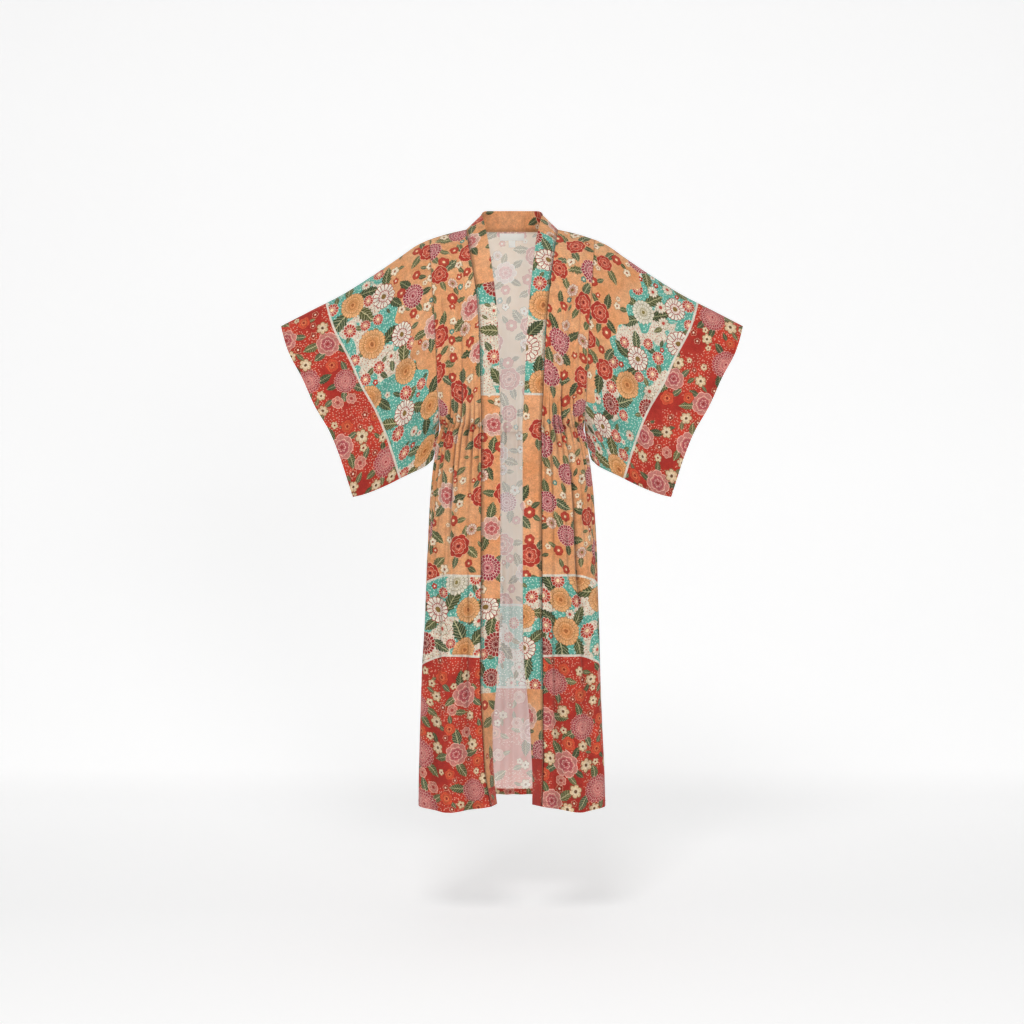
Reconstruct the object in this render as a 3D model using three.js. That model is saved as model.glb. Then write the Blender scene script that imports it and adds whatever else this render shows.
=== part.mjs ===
// A long open kimono robe, filled out as if worn: back, two fronts, two wide sleeves, a neckband,
// and the blank woven label and size tab inside the back neck.
//
// Millimetres, +Z up, the front faces -Y and -X is the viewer's left.
// The origin is midway between the shoulders, level with the seam at the side of the neck.
// A "drop" is how far a level of the cloth lies below its own top edge.

import * as THREE from "three";

// Driving sizes
const CLOTH_WALL = 1.5;
const BAND_WALL = 2.4;
const LABEL_WALL = 1;
const SEAM_GAP = 0.3;
const ROBE_DROP = 1263; // side of the neck to the hem
const WAIST_DROP = 440;
const NECK_HALF = 101; // centre to the side of the neck
const NECK_DEPTH = 62; // how far the back neck lies behind the shoulder seams
const NECK_RISE = 3; // how far the back neck lies above the side of the neck
const BAND_WIDTH = { front: 40, neck: 44.5 };
const BAND_TAPER = 150; // how far below the side of the neck the band reaches its front width
const SHOULDER_DROP = 160; // where the cloth has left the ridge of the shoulder
const LABEL_SIZE = { width: 55, height: 15, drop: 3 };
const TAB_SIZE = { width: 15, height: 14, drop: 18.5 };

// Grid counts
const UPPER_ROWS = 12;
const LOWER_ROWS = 13;
const FRONT_COLUMNS = 22;
const BACK_SHOULDER_COLUMNS = 12;
const BACK_NECK_COLUMNS = 13;
const SLEEVE_STEPS = 9;
const BAND_STEPS_ACROSS = 2;

// The figure inside the cloth, a ring at each drop: half its width, its depth in front and behind,
// the power that makes it boxy, and where the line down from the side of the neck crosses it.
const FIGURE = [
  { drop: 0, half: 230, front: 104, back: 84, power: 2.2, line: 101 },
  { drop: 60, half: 232, front: 112, back: 92, power: 2.2, line: 101 },
  { drop: 150, half: 234, front: 120, back: 98, power: 2.2, line: 101 },
  { drop: 250, half: 226, front: 124, back: 100, power: 2.2, line: 100 },
  { drop: 340, half: 204, front: 119, back: 99, power: 2.2, line: 99 },
  { drop: 400, half: 175, front: 108, back: 95, power: 2.2, line: 98 },
  { drop: 440, half: 158, front: 101, back: 90, power: 2.2, line: 97 },
  { drop: 480, half: 165, front: 108, back: 96, power: 2.25, line: 98 },
  { drop: 530, half: 174, front: 116, back: 104, power: 2.3, line: 100 },
  { drop: 600, half: 181, front: 123, back: 112, power: 2.4, line: 104 },
  { drop: 720, half: 186, front: 129, back: 119, power: 2.5, line: 109 },
  { drop: 860, half: 190, front: 133, back: 125, power: 2.6, line: 113 },
  { drop: 1000, half: 195, front: 137, back: 131, power: 2.7, line: 117 },
  { drop: 1140, half: 199, front: 141, back: 136, power: 2.8, line: 121 },
  { drop: 1263, half: 204, front: 145, back: 140, power: 2.8, line: 125 },
];

// Where the sleeve is set in, from the shoulder to the waist.
const ARMHOLE = [
  { drop: 0, x: 181 },
  { drop: 110, x: 174 },
  { drop: 240, x: 166 },
  { drop: 350, x: 162 },
  { drop: 440, x: 158 },
];

// The seam between each front and the band, and how far the band there has turned edge-on.
const FRONT_EDGE = [
  { drop: 0, left: 101, right: 101, turnLeft: 0, turnRight: 0 },
  { drop: 50, left: 93, right: 93, turnLeft: 0, turnRight: 0 },
  { drop: 150, left: 77, right: 80, turnLeft: 0, turnRight: 0 },
  { drop: 250, left: 70, right: 72, turnLeft: 0, turnRight: 0 },
  { drop: 370, left: 67, right: 67, turnLeft: 0, turnRight: 0 },
  { drop: 440, left: 66, right: 64, turnLeft: 2, turnRight: 2 },
  { drop: 770, left: 66, right: 64, turnLeft: 6, turnRight: 4 },
  { drop: 900, left: 67, right: 65, turnLeft: 22, turnRight: 8 },
  { drop: 1000, left: 67, right: 66, turnLeft: 40, turnRight: 36 },
  { drop: 1080, left: 63, right: 66, turnLeft: 62, turnRight: 52 },
  { drop: 1140, left: 60, right: 67, turnLeft: 68, turnRight: 56 },
  { drop: 1200, left: 56, right: 66, turnLeft: 70, turnRight: 62 },
  { drop: 1263, left: 44, right: 63, turnLeft: 78, turnRight: 66 },
];

// The way the band stands off its seam: towards the centre, back, and up.
const BAND_LEAN_FRONT = [
  { drop: 0, inward: 0.72, back: 0.1, up: 0.69 },
  { drop: 20, inward: 0.82, back: -0.2, up: 0.5 },
  { drop: 60, inward: 0.94, back: -0.24, up: 0.22 },
  { drop: 130, inward: 0.99, back: -0.16, up: 0.05 },
  { drop: 250, inward: 0.99, back: -0.12, up: 0 },
  { drop: 1263, inward: 0.99, back: -0.1, up: 0 },
];

// The same at the back neck: round is 0 at the centre back and 1 at the side of the neck.
const BAND_LEAN_NECK = [
  { round: 0, inward: 0, back: -0.1, up: 1 },
  { round: 0.5, inward: 0.12, back: -0.1, up: 0.98 },
  { round: 0.68, inward: 0.34, back: -0.24, up: 0.88 },
  { round: 0.82, inward: 0.56, back: -0.3, up: 0.76 },
  { round: 0.93, inward: 0.69, back: -0.14, up: 0.7 },
  { round: 1, inward: 0.72, back: 0.1, up: 0.69 },
];

// The top line of the shoulder and sleeve, the line under the sleeve and the cuff, seen from the front.
const TOP_LINE = [
  { x: 101, z: 0 },
  { x: 140, z: -9 },
  { x: 181, z: -22 },
  { x: 212, z: -37 },
  { x: 246, z: -61 },
  { x: 299, z: -97 },
  { x: 370, z: -142 },
  { x: 440, z: -178 },
  { x: 508, z: -213 },
];
const UNDER_LINE = [
  { x: 174, z: -508 },
  { x: 190, z: -522 },
  { x: 233, z: -543 },
  { x: 282, z: -567 },
  { x: 325, z: -584 },
  { x: 350, z: -590 },
];
const CUFF_LINE = [
  { x: 508, z: -213 },
  { x: 488, z: -274 },
  { x: 458, z: -330 },
  { x: 430, z: -392 },
  { x: 398, z: -448 },
  { x: 374, z: -510 },
  { x: 350, z: -590 },
];
const SLEEVE_TAIL = [
  { x: 162.5, z: -458 },
  { x: 168, z: -484 },
  { x: 174, z: -508 },
];
const SLEEVE_CLEARANCE = 1.2; // from the body at the foot of the armhole
const SLEEVE_PINCH = 2.3; // half the thickness of the sleeve where its two layers are sewn together
const CUFF_DEPTH = 88; // sets how far the layers stand apart at the cuff
const SLEEVE_SETTLE = 2.6; // how soon the layers close from the body's depth to the cuff's

// Gathers at the waist
const GATHER_DEPTH = 3.1;
const GATHER_REACH_UP = 85;
const GATHER_REACH_DOWN = 140;
const WAIST_NIP = 3; // how far the stitched line draws in
const WAIST_NIP_REACH = 13;

// How much higher than level the hems hang, across each panel, and where that begins
const HEM_LIFT = {
  front: [
    { share: 0, lift: 6 },
    { share: 0.25, lift: 8 },
    { share: 0.4, lift: 4 },
    { share: 0.6, lift: -3 },
    { share: 0.8, lift: 4 },
    { share: 1, lift: 13 },
  ],
  back: [
    { share: 0, lift: 6 },
    { share: 0.2, lift: 1 },
    { share: 0.4, lift: 0 },
    { share: 1, lift: 0 },
  ],
};
const LIFT_FROM = 900;

// The long soft folds: where across the panel (0 at the side, 1 at the centre), half width in the
// same measure, how far out (or in) of the cloth, and the drops between which each shows.
const FOLDS = {
  frontLeft: [
    { at: 0.2, half: 0.07, out: -7, from: 560, to: 1130 },
    { at: 0.36, half: 0.16, out: 15, from: 600, to: 1500 },
    { at: 0.6, half: 0.08, out: -6, from: 455, to: 800 },
    { at: 0.8, half: 0.15, out: -13, from: 760, to: 1500 },
    { at: 0.55, half: 0.12, out: -5, from: 60, to: 330 },
    { at: 0.28, half: 0.08, out: -5, from: 180, to: 430 },
    { at: 0.8, half: 0.08, out: 4, from: 200, to: 420 },
  ],
  frontRight: [
    { at: 0.17, half: 0.07, out: -6, from: 620, to: 1180 },
    { at: 0.38, half: 0.17, out: 14, from: 640, to: 1500 },
    { at: 0.56, half: 0.07, out: -7, from: 455, to: 860 },
    { at: 0.83, half: 0.13, out: -11, from: 800, to: 1500 },
    { at: 0.48, half: 0.1, out: -6, from: 80, to: 350 },
    { at: 0.3, half: 0.08, out: 4, from: 200, to: 430 },
    { at: 0.74, half: 0.08, out: -4, from: 230, to: 430 },
  ],
  backLeft: [
    { at: 0.16, half: 0.09, out: -9, from: 600, to: 1500 },
    { at: 0.34, half: 0.12, out: 11, from: 520, to: 1500 },
    { at: 0.55, half: 0.1, out: -10, from: 470, to: 1500 },
    { at: 0.76, half: 0.1, out: 9, from: 560, to: 1500 },
    { at: 0.95, half: 0.08, out: -8, from: 640, to: 1500 },
    { at: 0.4, half: 0.1, out: -5, from: 90, to: 400 },
    { at: 0.75, half: 0.09, out: -4, from: 160, to: 430 },
  ],
  backRight: [
    { at: 0.13, half: 0.09, out: -8, from: 640, to: 1500 },
    { at: 0.3, half: 0.11, out: 10, from: 500, to: 1500 },
    { at: 0.5, half: 0.1, out: -11, from: 520, to: 1500 },
    { at: 0.71, half: 0.11, out: 10, from: 480, to: 1500 },
    { at: 0.92, half: 0.09, out: -7, from: 600, to: 1500 },
    { at: 0.46, half: 0.1, out: -5, from: 110, to: 380 },
    { at: 0.8, half: 0.08, out: -4, from: 200, to: 430 },
  ],
};
const FOLD_FADE = 130; // length over which a fold comes and goes

// The sleeve's folds: where they start and end (along and down the sleeve, 0 to 1), half width, depth.
const SLEEVE_FOLDS = [
  { along: [0, 0.75], down: [0.42, 0.62], half: 0.07, out: -6 },
  { along: [0, 0.9], down: [0.72, 0.85], half: 0.06, out: -5 },
  { along: [0.15, 1], down: [0.1, 0.3], half: 0.09, out: -4 },
];

const MATERIALS = {
  print: new THREE.MeshStandardMaterial({ color: 0xd99a6c, roughness: 0.85, metalness: 0 }),
  sleeve: new THREE.MeshStandardMaterial({ color: 0xc4604c, roughness: 0.85, metalness: 0 }),
  band: new THREE.MeshStandardMaterial({ color: 0xdfa87d, roughness: 0.85, metalness: 0 }),
  label: new THREE.MeshStandardMaterial({ color: 0xe9ebe2, roughness: 0.7, metalness: 0 }),
};

// Small helpers

const clamp = (value) => Math.min(1, Math.max(0, value));
const mix = (a, b, share) => a + (b - a) * share;

function ramp(from, to, value) {
  const share = clamp((value - from) / (to - from));
  return share * share * (3 - 2 * share);
}

// Reads one column of a table at a value of its key column, on a smooth curve through the rows.
function read(table, key, column, value) {
  const last = table.length - 1;
  const at = Math.min(Math.max(value, table[0][key]), table[last][key]);
  let i = 0;
  while (i < last - 1 && at > table[i + 1][key]) i += 1;
  const slope = (j) => {
    const before = table[Math.max(j - 1, 0)];
    const after = table[Math.min(j + 1, last)];
    return (after[column] - before[column]) / (after[key] - before[key]);
  };
  const span = table[i + 1][key] - table[i][key];
  const t = (at - table[i][key]) / span;
  const a = table[i][column];
  const b = table[i + 1][column];
  return (
    a * (1 + 2 * t) * (1 - t) ** 2 +
    slope(i) * span * t * (1 - t) ** 2 +
    b * t * t * (3 - 2 * t) +
    slope(i + 1) * span * t * t * (t - 1)
  );
}

// A point part of the way along a line drawn in the front view, by its length.
function alongLine(line, share) {
  const lengths = [0];
  for (let i = 1; i < line.length; i += 1) {
    lengths.push(lengths[i - 1] + Math.hypot(line[i].x - line[i - 1].x, line[i].z - line[i - 1].z));
  }
  const table = line.map((point, i) => ({ s: lengths[i], x: point.x, z: point.z }));
  const s = share * lengths[line.length - 1];
  return { x: read(table, "s", "x", s), z: read(table, "s", "z", s) };
}

// The body

const armholeX = (drop) => read(ARMHOLE, "drop", "x", drop);

function sideX(drop) {
  return drop < WAIST_DROP ? armholeX(drop) : read(FIGURE, "drop", "half", drop);
}

function bandSeamX(side, drop) {
  return read(FRONT_EDGE, "drop", side < 0 ? "left" : "right", drop);
}

// How much of the figure's depth the cloth has reached at a drop below the ridge of the shoulder.
function shoulderDepth(drop) {
  return Math.sin((Math.PI / 2) * clamp(drop / SHOULDER_DROP) ** 0.7);
}

// One half of a level, from the side (share 0) to the band seam or centre back (share 1), evenly
// spaced along the cloth. Gives x and the figure's depth there, both positive.
function halfLevel(face, side, drop) {
  const half = read(FIGURE, "drop", "half", drop);
  const deep = read(FIGURE, "drop", face, drop);
  const power = read(FIGURE, "drop", "power", drop);
  const depthAt = (x) => deep * Math.max(0, 1 - (x / half) ** power) ** (1 / power);
  const spread = (fromX, toX) => {
    const steps = 36;
    const from = Math.atan2(depthAt(fromX), fromX);
    const to = Math.atan2(depthAt(toX), toX);
    const points = [];
    for (let i = 0; i <= steps; i += 1) {
      const angle = mix(from, to, i / steps);
      const reach =
        ((Math.cos(angle) / half) ** power + (Math.sin(angle) / deep) ** power) ** (-1 / power);
      const x = reach * Math.cos(angle);
      const depth = reach * Math.sin(angle);
      const before = points[i - 1];
      const s = before ? before.s + Math.hypot(x - before.x, depth - before.depth) : 0;
      points.push({ s, x, depth });
    }
    return (share) => {
      const s = share * points[steps].s;
      let i = 0;
      while (i < steps - 1 && points[i + 1].s < s) i += 1;
      const t = (s - points[i].s) / (points[i + 1].s - points[i].s);
      return {
        x: mix(points[i].x, points[i + 1].x, t),
        depth: mix(points[i].depth, points[i + 1].depth, t),
      };
    };
  };
  if (face === "front") return spread(sideX(drop), bandSeamX(side, drop));
  const line = read(FIGURE, "drop", "line", drop);
  const lineShare = BACK_SHOULDER_COLUMNS / (BACK_SHOULDER_COLUMNS + BACK_NECK_COLUMNS);
  const outer = spread(sideX(drop), line);
  const inner = spread(line, 1e-3);
  return (share) =>
    share < lineShare ? outer(share / lineShare) : inner((share - lineShare) / (1 - lineShare));
}

// The top edge of the body at x: the ridge of the shoulder, or the back neckline inside it.
function topEdge(x) {
  if (x >= NECK_HALF) return { y: 0, z: read(TOP_LINE, "x", "z", x) };
  const across = x / NECK_HALF;
  return {
    y: NECK_DEPTH * Math.max(0, 1 - across ** 2.6) ** (1 / 2.6),
    z: NECK_RISE * (1 - across ** 2),
  };
}

function foldsAt(folds, share, drop) {
  let out = 0;
  for (const fold of folds) {
    const across = Math.abs(share - fold.at) / fold.half;
    if (across < 1) {
      const length =
        ramp(fold.from, fold.from + FOLD_FADE, drop) * (1 - ramp(fold.to - FOLD_FADE, fold.to, drop));
      out += fold.out * length * Math.cos((Math.PI / 2) * across) ** 2;
    }
  }
  return out;
}

// The gathers: waves one grid column from crest to trough, uneven in depth and reach.
function gathersAt(share, columns, drop) {
  const wave = Math.cos(Math.PI * columns * share);
  const uneven = 0.75 + 0.35 * Math.sin(17 * share + 1) * Math.sin(29 * share);
  const reach =
    (drop < WAIST_DROP ? GATHER_REACH_UP : GATHER_REACH_DOWN) * (0.8 + 0.4 * Math.sin(23 * share));
  const fade = Math.exp(-(((drop - WAIST_DROP) / reach) ** 2));
  const ends = ramp(0, 0.07, share) * ramp(1, 0.93, share);
  return GATHER_DEPTH * wave * uneven * fade * ends;
}

function waistNip(drop) {
  return -WAIST_NIP * Math.exp(-(((drop - WAIST_DROP) / WAIST_NIP_REACH) ** 2));
}

// A point of the body's outer face.
function bodyPoint(face, side, share, columns, drop, level = halfLevel(face, side, drop)) {
  const { x, depth } = level(share);
  const folds = FOLDS[face + (side < 0 ? "Left" : "Right")];
  const settle = shoulderDepth(drop);
  const crease =
    foldsAt(folds, share, drop) + gathersAt(share, columns, drop) + waistNip(drop) * ramp(0, 0.05, share);
  // The creases push along the ring's own normal.
  const half = read(FIGURE, "drop", "half", drop);
  const deep = read(FIGURE, "drop", face, drop);
  const power = read(FIGURE, "drop", "power", drop);
  const nx = (x / half) ** (power - 1) / half;
  const ny = (depth / deep) ** (power - 1) / deep;
  const size = Math.hypot(nx, ny);
  const top = face === "back" ? topEdge(x) : { y: 0, z: topEdge(Math.max(x, NECK_HALF)).z };
  const lift = read(HEM_LIFT[face], "share", "lift", share) * ramp(LIFT_FROM, ROBE_DROP, drop);
  const fade = 1 - ramp(0, 200, drop);
  const push = crease * ramp(0, 60, drop);
  const outX = x + (push * nx) / size;
  const outY = mix(top.y, depth, settle) + (push * ny) / size;
  const facing = face === "front" ? -1 : 1;
  return new THREE.Vector3(side * outX, facing * outY, -drop + top.z * fade + lift);
}

// The drops of the rows: close together at the shoulder and around the waist.
function rowDrops() {
  const drops = [];
  for (let i = 0; i <= UPPER_ROWS; i += 1) {
    const t = i / UPPER_ROWS;
    drops.push(WAIST_DROP * (t - (0.75 * Math.sin(2 * Math.PI * t)) / (2 * Math.PI)));
  }
  for (let i = 1; i <= LOWER_ROWS; i += 1) {
    drops.push(mix(WAIST_DROP, ROBE_DROP, (i / LOWER_ROWS) ** 1.55));
  }
  return drops;
}

// A grid is rows of { point, out }: a point of the outer face and the way out of the cloth there.
function gridOf(rows) {
  const last = rows.length - 1;
  return rows.map((row, i) =>
    row.map((point, j) => {
      const down = rows[Math.min(i + 1, last)][j].clone().sub(rows[Math.max(i - 1, 0)][j]);
      const across = row[Math.min(j + 1, row.length - 1)].clone().sub(row[Math.max(j - 1, 0)]);
      return { point: point.clone(), out: across.cross(down).normalize() };
    }),
  );
}

// The way out of the cloth on the ridge of the shoulder.
function ridgeOut(x) {
  const step = 1;
  const side = Math.sign(x);
  const rise = topEdge(Math.abs(x) + step).z - topEdge(Math.max(Math.abs(x) - step, NECK_HALF)).z;
  return new THREE.Vector3(-side * rise, 0, 2 * step).normalize();
}

// Both panels of a side seam, and all that meet on a ridge, share one way out, so their walls meet
// face to face.
function shareSeamDirections(grid, sideOf, drops) {
  for (let j = 0; j < grid[0].length; j += 1) {
    const { point } = grid[0][j];
    if (Math.abs(point.x) >= NECK_HALF - 1e-6) grid[0][j].out.copy(ridgeOut(point.x));
  }
  for (let i = 0; i < grid.length; i += 1) {
    if (drops[i] < WAIST_DROP - 1e-6) continue;
    for (const { column, side } of sideOf) grid[i][column].out.set(side, 0, 0);
  }
}

function frontGrid(side, drops) {
  const rows = drops.map((drop) => {
    const level = halfLevel("front", side, drop);
    const row = [];
    for (let j = 0; j <= FRONT_COLUMNS; j += 1) {
      row.push(bodyPoint("front", side, j / FRONT_COLUMNS, FRONT_COLUMNS, drop, level));
    }
    return side < 0 ? row : row.reverse();
  });
  const grid = gridOf(rows);
  for (const row of grid) for (const cell of row) cell.out.negate();
  shareSeamDirections(grid, [{ column: side < 0 ? 0 : FRONT_COLUMNS, side }], drops);
  return grid;
}

function backGrid(drops) {
  const halfColumns = BACK_SHOULDER_COLUMNS + BACK_NECK_COLUMNS;
  const halfRow = (side, drop) => {
    const level = halfLevel("back", side, drop);
    const row = [];
    for (let j = 0; j <= halfColumns; j += 1) {
      row.push(bodyPoint("back", side, j / halfColumns, halfColumns, drop, level));
    }
    return row;
  };
  const rows = drops.map((drop) => {
    const left = halfRow(-1, drop);
    const right = halfRow(1, drop).slice(0, -1).reverse();
    return [...left, ...right];
  });
  const grid = gridOf(rows);
  shareSeamDirections(
    grid,
    [
      { column: 0, side: -1 },
      { column: 2 * halfColumns, side: 1 },
    ],
    drops,
  );
  return grid;
}

// Draws an edge of a panel back from its seam, in the plane of the cloth.
function drawBack(grid, edge) {
  const lastRow = grid.length - 1;
  const lastColumn = grid[0].length - 1;
  const moves = [];
  const count = edge === "top" || edge === "bottom" ? lastColumn : lastRow;
  for (let k = 0; k <= count; k += 1) {
    const [i, j, ni, nj] = {
      top: [0, k, 1, k],
      bottom: [lastRow, k, lastRow - 1, k],
      first: [k, 0, k, 1],
      last: [k, lastColumn, k, lastColumn - 1],
    }[edge];
    const inward = grid[ni][nj].point.clone().sub(grid[i][j].point).normalize();
    moves.push([grid[i][j].point, inward.multiplyScalar(SEAM_GAP / 2)]);
  }
  for (const [point, move] of moves) point.add(move);
}

// The sleeves

// A sleeve is a tube: its loop runs down the front layer and up the back layer.
function sleeveGrid(side, front, back, drops) {
  const rootFront = [];
  const rootBack = [];
  for (let i = 0; i <= UPPER_ROWS; i += 1) {
    const frontColumn = side < 0 ? 0 : FRONT_COLUMNS;
    const backColumn = side < 0 ? 0 : back[0].length - 1;
    rootFront.push(front[i][frontColumn]);
    rootBack.push(back[i][backColumn]);
  }
  const tailSteps = SLEEVE_TAIL.length;
  const downSteps = UPPER_ROWS + tailSteps;
  const root = [];
  for (let i = 0; i <= downSteps; i += 1) {
    const tail = SLEEVE_TAIL[i - UPPER_ROWS - 1];
    const x = tail ? tail.x : Math.abs(rootFront[i].point.x);
    const z = tail ? tail.z : rootFront[i].point.z;
    const clear = tail ? 0 : SLEEVE_CLEARANCE * ramp(UPPER_ROWS - 3, UPPER_ROWS, i);
    root.push({
      x: x + clear,
      z,
      front: tail ? SLEEVE_PINCH : Math.max(SLEEVE_PINCH, -rootFront[i].point.y),
      back: tail ? SLEEVE_PINCH : Math.max(SLEEVE_PINCH, rootBack[i].point.y),
    });
  }
  // How far down each point of the root lies, 0 to 1, by its length.
  const lengths = [0];
  for (let i = 1; i <= downSteps; i += 1) {
    lengths.push(
      lengths[i - 1] + Math.hypot(root[i].x - root[i - 1].x, root[i].z - root[i - 1].z),
    );
  }
  const downs = lengths.map((length) => length / lengths[downSteps]);
  const topLine = [root[0], ...TOP_LINE.filter((point) => point.x > root[0].x + 5)];
  const corner = { rootTop: root[0], rootLow: root[downSteps] };
  const cuffTop = alongLine(CUFF_LINE, 0);
  const cuffLow = alongLine(CUFF_LINE, 1);
  // The front view's place of a point along and down the sleeve, between its four edges.
  const place = (along, i) => {
    const down = downs[i];
    const top = alongLine(topLine, along);
    const under = alongLine(UNDER_LINE, along);
    const cuff = alongLine(CUFF_LINE, down);
    const at = (key) =>
      mix(root[i][key], cuff[key], along) +
      mix(top[key], under[key], down) -
      mix(
        mix(corner.rootTop[key], cuffTop[key], along),
        mix(corner.rootLow[key], cuffLow[key], along),
        down,
      );
    return { x: at("x"), z: at("z") };
  };
  const cuffDepth = (down) =>
    CUFF_DEPTH * Math.sqrt(down) * Math.max(0, 1 - down) ** 0.75 + SLEEVE_PINCH * ramp(0, 0.05, down);
  const crease = (along, down) => {
    let out = 0;
    for (const fold of SLEEVE_FOLDS) {
      const run = (along - fold.along[0]) / (fold.along[1] - fold.along[0]);
      const line = mix(fold.down[0], fold.down[1], clamp(run));
      const across = Math.abs(down - line) / fold.half;
      if (across >= 1) continue;
      const length = ramp(0, 0.25, along) * (1 - ramp(0.7, 1, run)) * ramp(0, 0.2, run);
      out += fold.out * length * Math.cos((Math.PI / 2) * across) ** 2;
    }
    return out;
  };
  const rows = [];
  for (let k = 0; k <= SLEEVE_STEPS; k += 1) {
    const along = k / SLEEVE_STEPS;
    const settle = (1 - Math.exp(-SLEEVE_SETTLE * along)) / (1 - Math.exp(-SLEEVE_SETTLE));
    const pointAt = (i, layer) => {
      const { x, z } = place(along, i);
      const own = i === 0 ? 0 : root[i][layer];
      let deep = mix(own, cuffDepth(downs[i]), settle);
      if (i > 0 && i < downSteps) deep = Math.max(deep + crease(along, downs[i]), SLEEVE_PINCH);
      const y = i === 0 || i === downSteps ? 0 : deep;
      return new THREE.Vector3(side * x, layer === "front" ? -y : y, z);
    };
    const row = [];
    for (let i = 0; i <= downSteps; i += 1) row.push(pointAt(i, "front"));
    for (let i = downSteps - 1; i >= 1; i -= 1) row.push(pointAt(i, "back"));
    rows.push(row);
  }
  const grid = loopGridOf(rows, side);
  // At the root the sleeve's wall lies in line with the body's, unless the two meet in a corner.
  const matchRoot = (cell, body) => {
    const inner = grid[1][grid[0].indexOf(cell)].point;
    const away = inner.clone().sub(cell.point).normalize();
    const corner = ramp(0, 0.5, away.dot(body.out));
    cell.out.lerp(body.out, 1 - corner).normalize();
  };
  const count = grid[0].length;
  matchRoot(grid[0][0], { out: ridgeOut(side * root[0].x) });
  for (let i = 1; i < UPPER_ROWS; i += 1) {
    matchRoot(grid[0][i], rootFront[i]);
    matchRoot(grid[0][count - i], rootBack[i]);
  }
  return grid;
}

// The ways out of the cloth on a tube whose columns close on themselves.
function loopGridOf(rows, side) {
  const last = rows.length - 1;
  const count = rows[0].length;
  return rows.map((row, i) =>
    row.map((point, j) => {
      const along = rows[Math.min(i + 1, last)][j].clone().sub(rows[Math.max(i - 1, 0)][j]);
      const round = row[(j + 1) % count].clone().sub(row[(j + count - 1) % count]);
      const out = along.cross(round).normalize();
      return { point: point.clone(), out: side > 0 ? out.negate() : out };
    }),
  );
}

// The neckband

// The band follows its seam up the left front, round the back neck and down the right front.
function bandGrid(fronts, back, drops) {
  const path = [];
  const leanAt = (drop, side) => {
    const turn = THREE.MathUtils.degToRad(
      read(FRONT_EDGE, "drop", side < 0 ? "turnLeft" : "turnRight", drop),
    );
    const lean = new THREE.Vector3(
      -side * read(BAND_LEAN_FRONT, "drop", "inward", drop),
      read(BAND_LEAN_FRONT, "drop", "back", drop),
      read(BAND_LEAN_FRONT, "drop", "up", drop),
    );
    return lean.applyAxisAngle(new THREE.Vector3(0, 0, 1), -side * turn).normalize();
  };
  const frontSeam = (side) =>
    drops.map((drop, i) => {
      const cell = fronts[side][i][side < 0 ? FRONT_COLUMNS : 0];
      const width = mix(BAND_WIDTH.neck, BAND_WIDTH.front, ramp(0, BAND_TAPER, drop));
      return { point: cell.point, out: cell.out, lean: leanAt(drop, side), width };
    });
  path.push(...frontSeam(-1).reverse());
  const neckCells = back[0].filter(({ point }) => Math.abs(point.x) < NECK_HALF - 1e-3);
  for (const { point, out } of neckCells) {
    const round = Math.abs(point.x) / NECK_HALF;
    const lean = new THREE.Vector3(
      -Math.sign(point.x) * read(BAND_LEAN_NECK, "round", "inward", round),
      read(BAND_LEAN_NECK, "round", "back", round),
      read(BAND_LEAN_NECK, "round", "up", round),
    ).normalize();
    path.push({ point, out, lean, width: BAND_WIDTH.neck });
  }
  path.push(...frontSeam(1));
  const last = path.length - 1;
  const across = path.map(() => []);
  path.forEach(({ point, out, lean, width }, i) => {
    const along = path[Math.min(i + 1, last)].point
      .clone()
      .sub(path[Math.max(i - 1, 0)].point)
      .normalize();
    const square = lean.clone().addScaledVector(along, -lean.dot(along)).normalize();
    const bandOut = square.clone().cross(along).normalize();
    for (let k = 0; k <= BAND_STEPS_ACROSS; k += 1) {
      const share = k / BAND_STEPS_ACROSS;
      const start = point.clone().addScaledVector(square, SEAM_GAP / 2);
      const cellPoint = start.addScaledVector(square, width * share);
      const cellOut = k === 0 ? out.clone() : bandOut.clone();
      across[i].push({ point: cellPoint, out: cellOut });
    }
  });
  return across;
}

// The label and the size tab hang inside the back neck, on the cloth's inner face.
function labelGrid(back, { width, height, drop }) {
  const columnsAcross = 6;
  const rowsDown = 3;
  const grid = [];
  for (let i = 0; i <= rowsDown; i += 1) {
    const row = [];
    for (let j = 0; j <= columnsAcross; j += 1) {
      const x = mix(-width / 2, width / 2, j / columnsAcross);
      const down = drop + (height * i) / rowsDown;
      row.push(innerFaceAt(back, x, down));
    }
    grid.push(row);
  }
  return grid;
}

// The inner face of the back at a distance from its centre line and a drop below the neckline.
function innerFaceAt(back, x, down) {
  const centre = (back[0].length - 1) / 2;
  const at = (i) => {
    let j = centre;
    const step = x < 0 ? -1 : 1;
    while (Math.abs(back[i][j + step].point.x) < Math.abs(x)) j += step;
    const a = back[i][j];
    const b = back[i][j + step];
    const t = (x - a.point.x) / (b.point.x - a.point.x);
    return {
      point: a.point.clone().lerp(b.point, t),
      out: a.out.clone().lerp(b.out, t).normalize(),
    };
  };
  let i = 0;
  while (at(i + 1).point.z > at(0).point.z - down) i += 1;
  const upper = at(i);
  const lower = at(i + 1);
  const t = (at(0).point.z - down - upper.point.z) / (lower.point.z - upper.point.z);
  const point = upper.point.clone().lerp(lower.point, t);
  const out = upper.out.clone().lerp(lower.out, t).normalize();
  point.addScaledVector(out, -(CLOTH_WALL + SEAM_GAP));
  return { point, out };
}

// Solids

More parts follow.
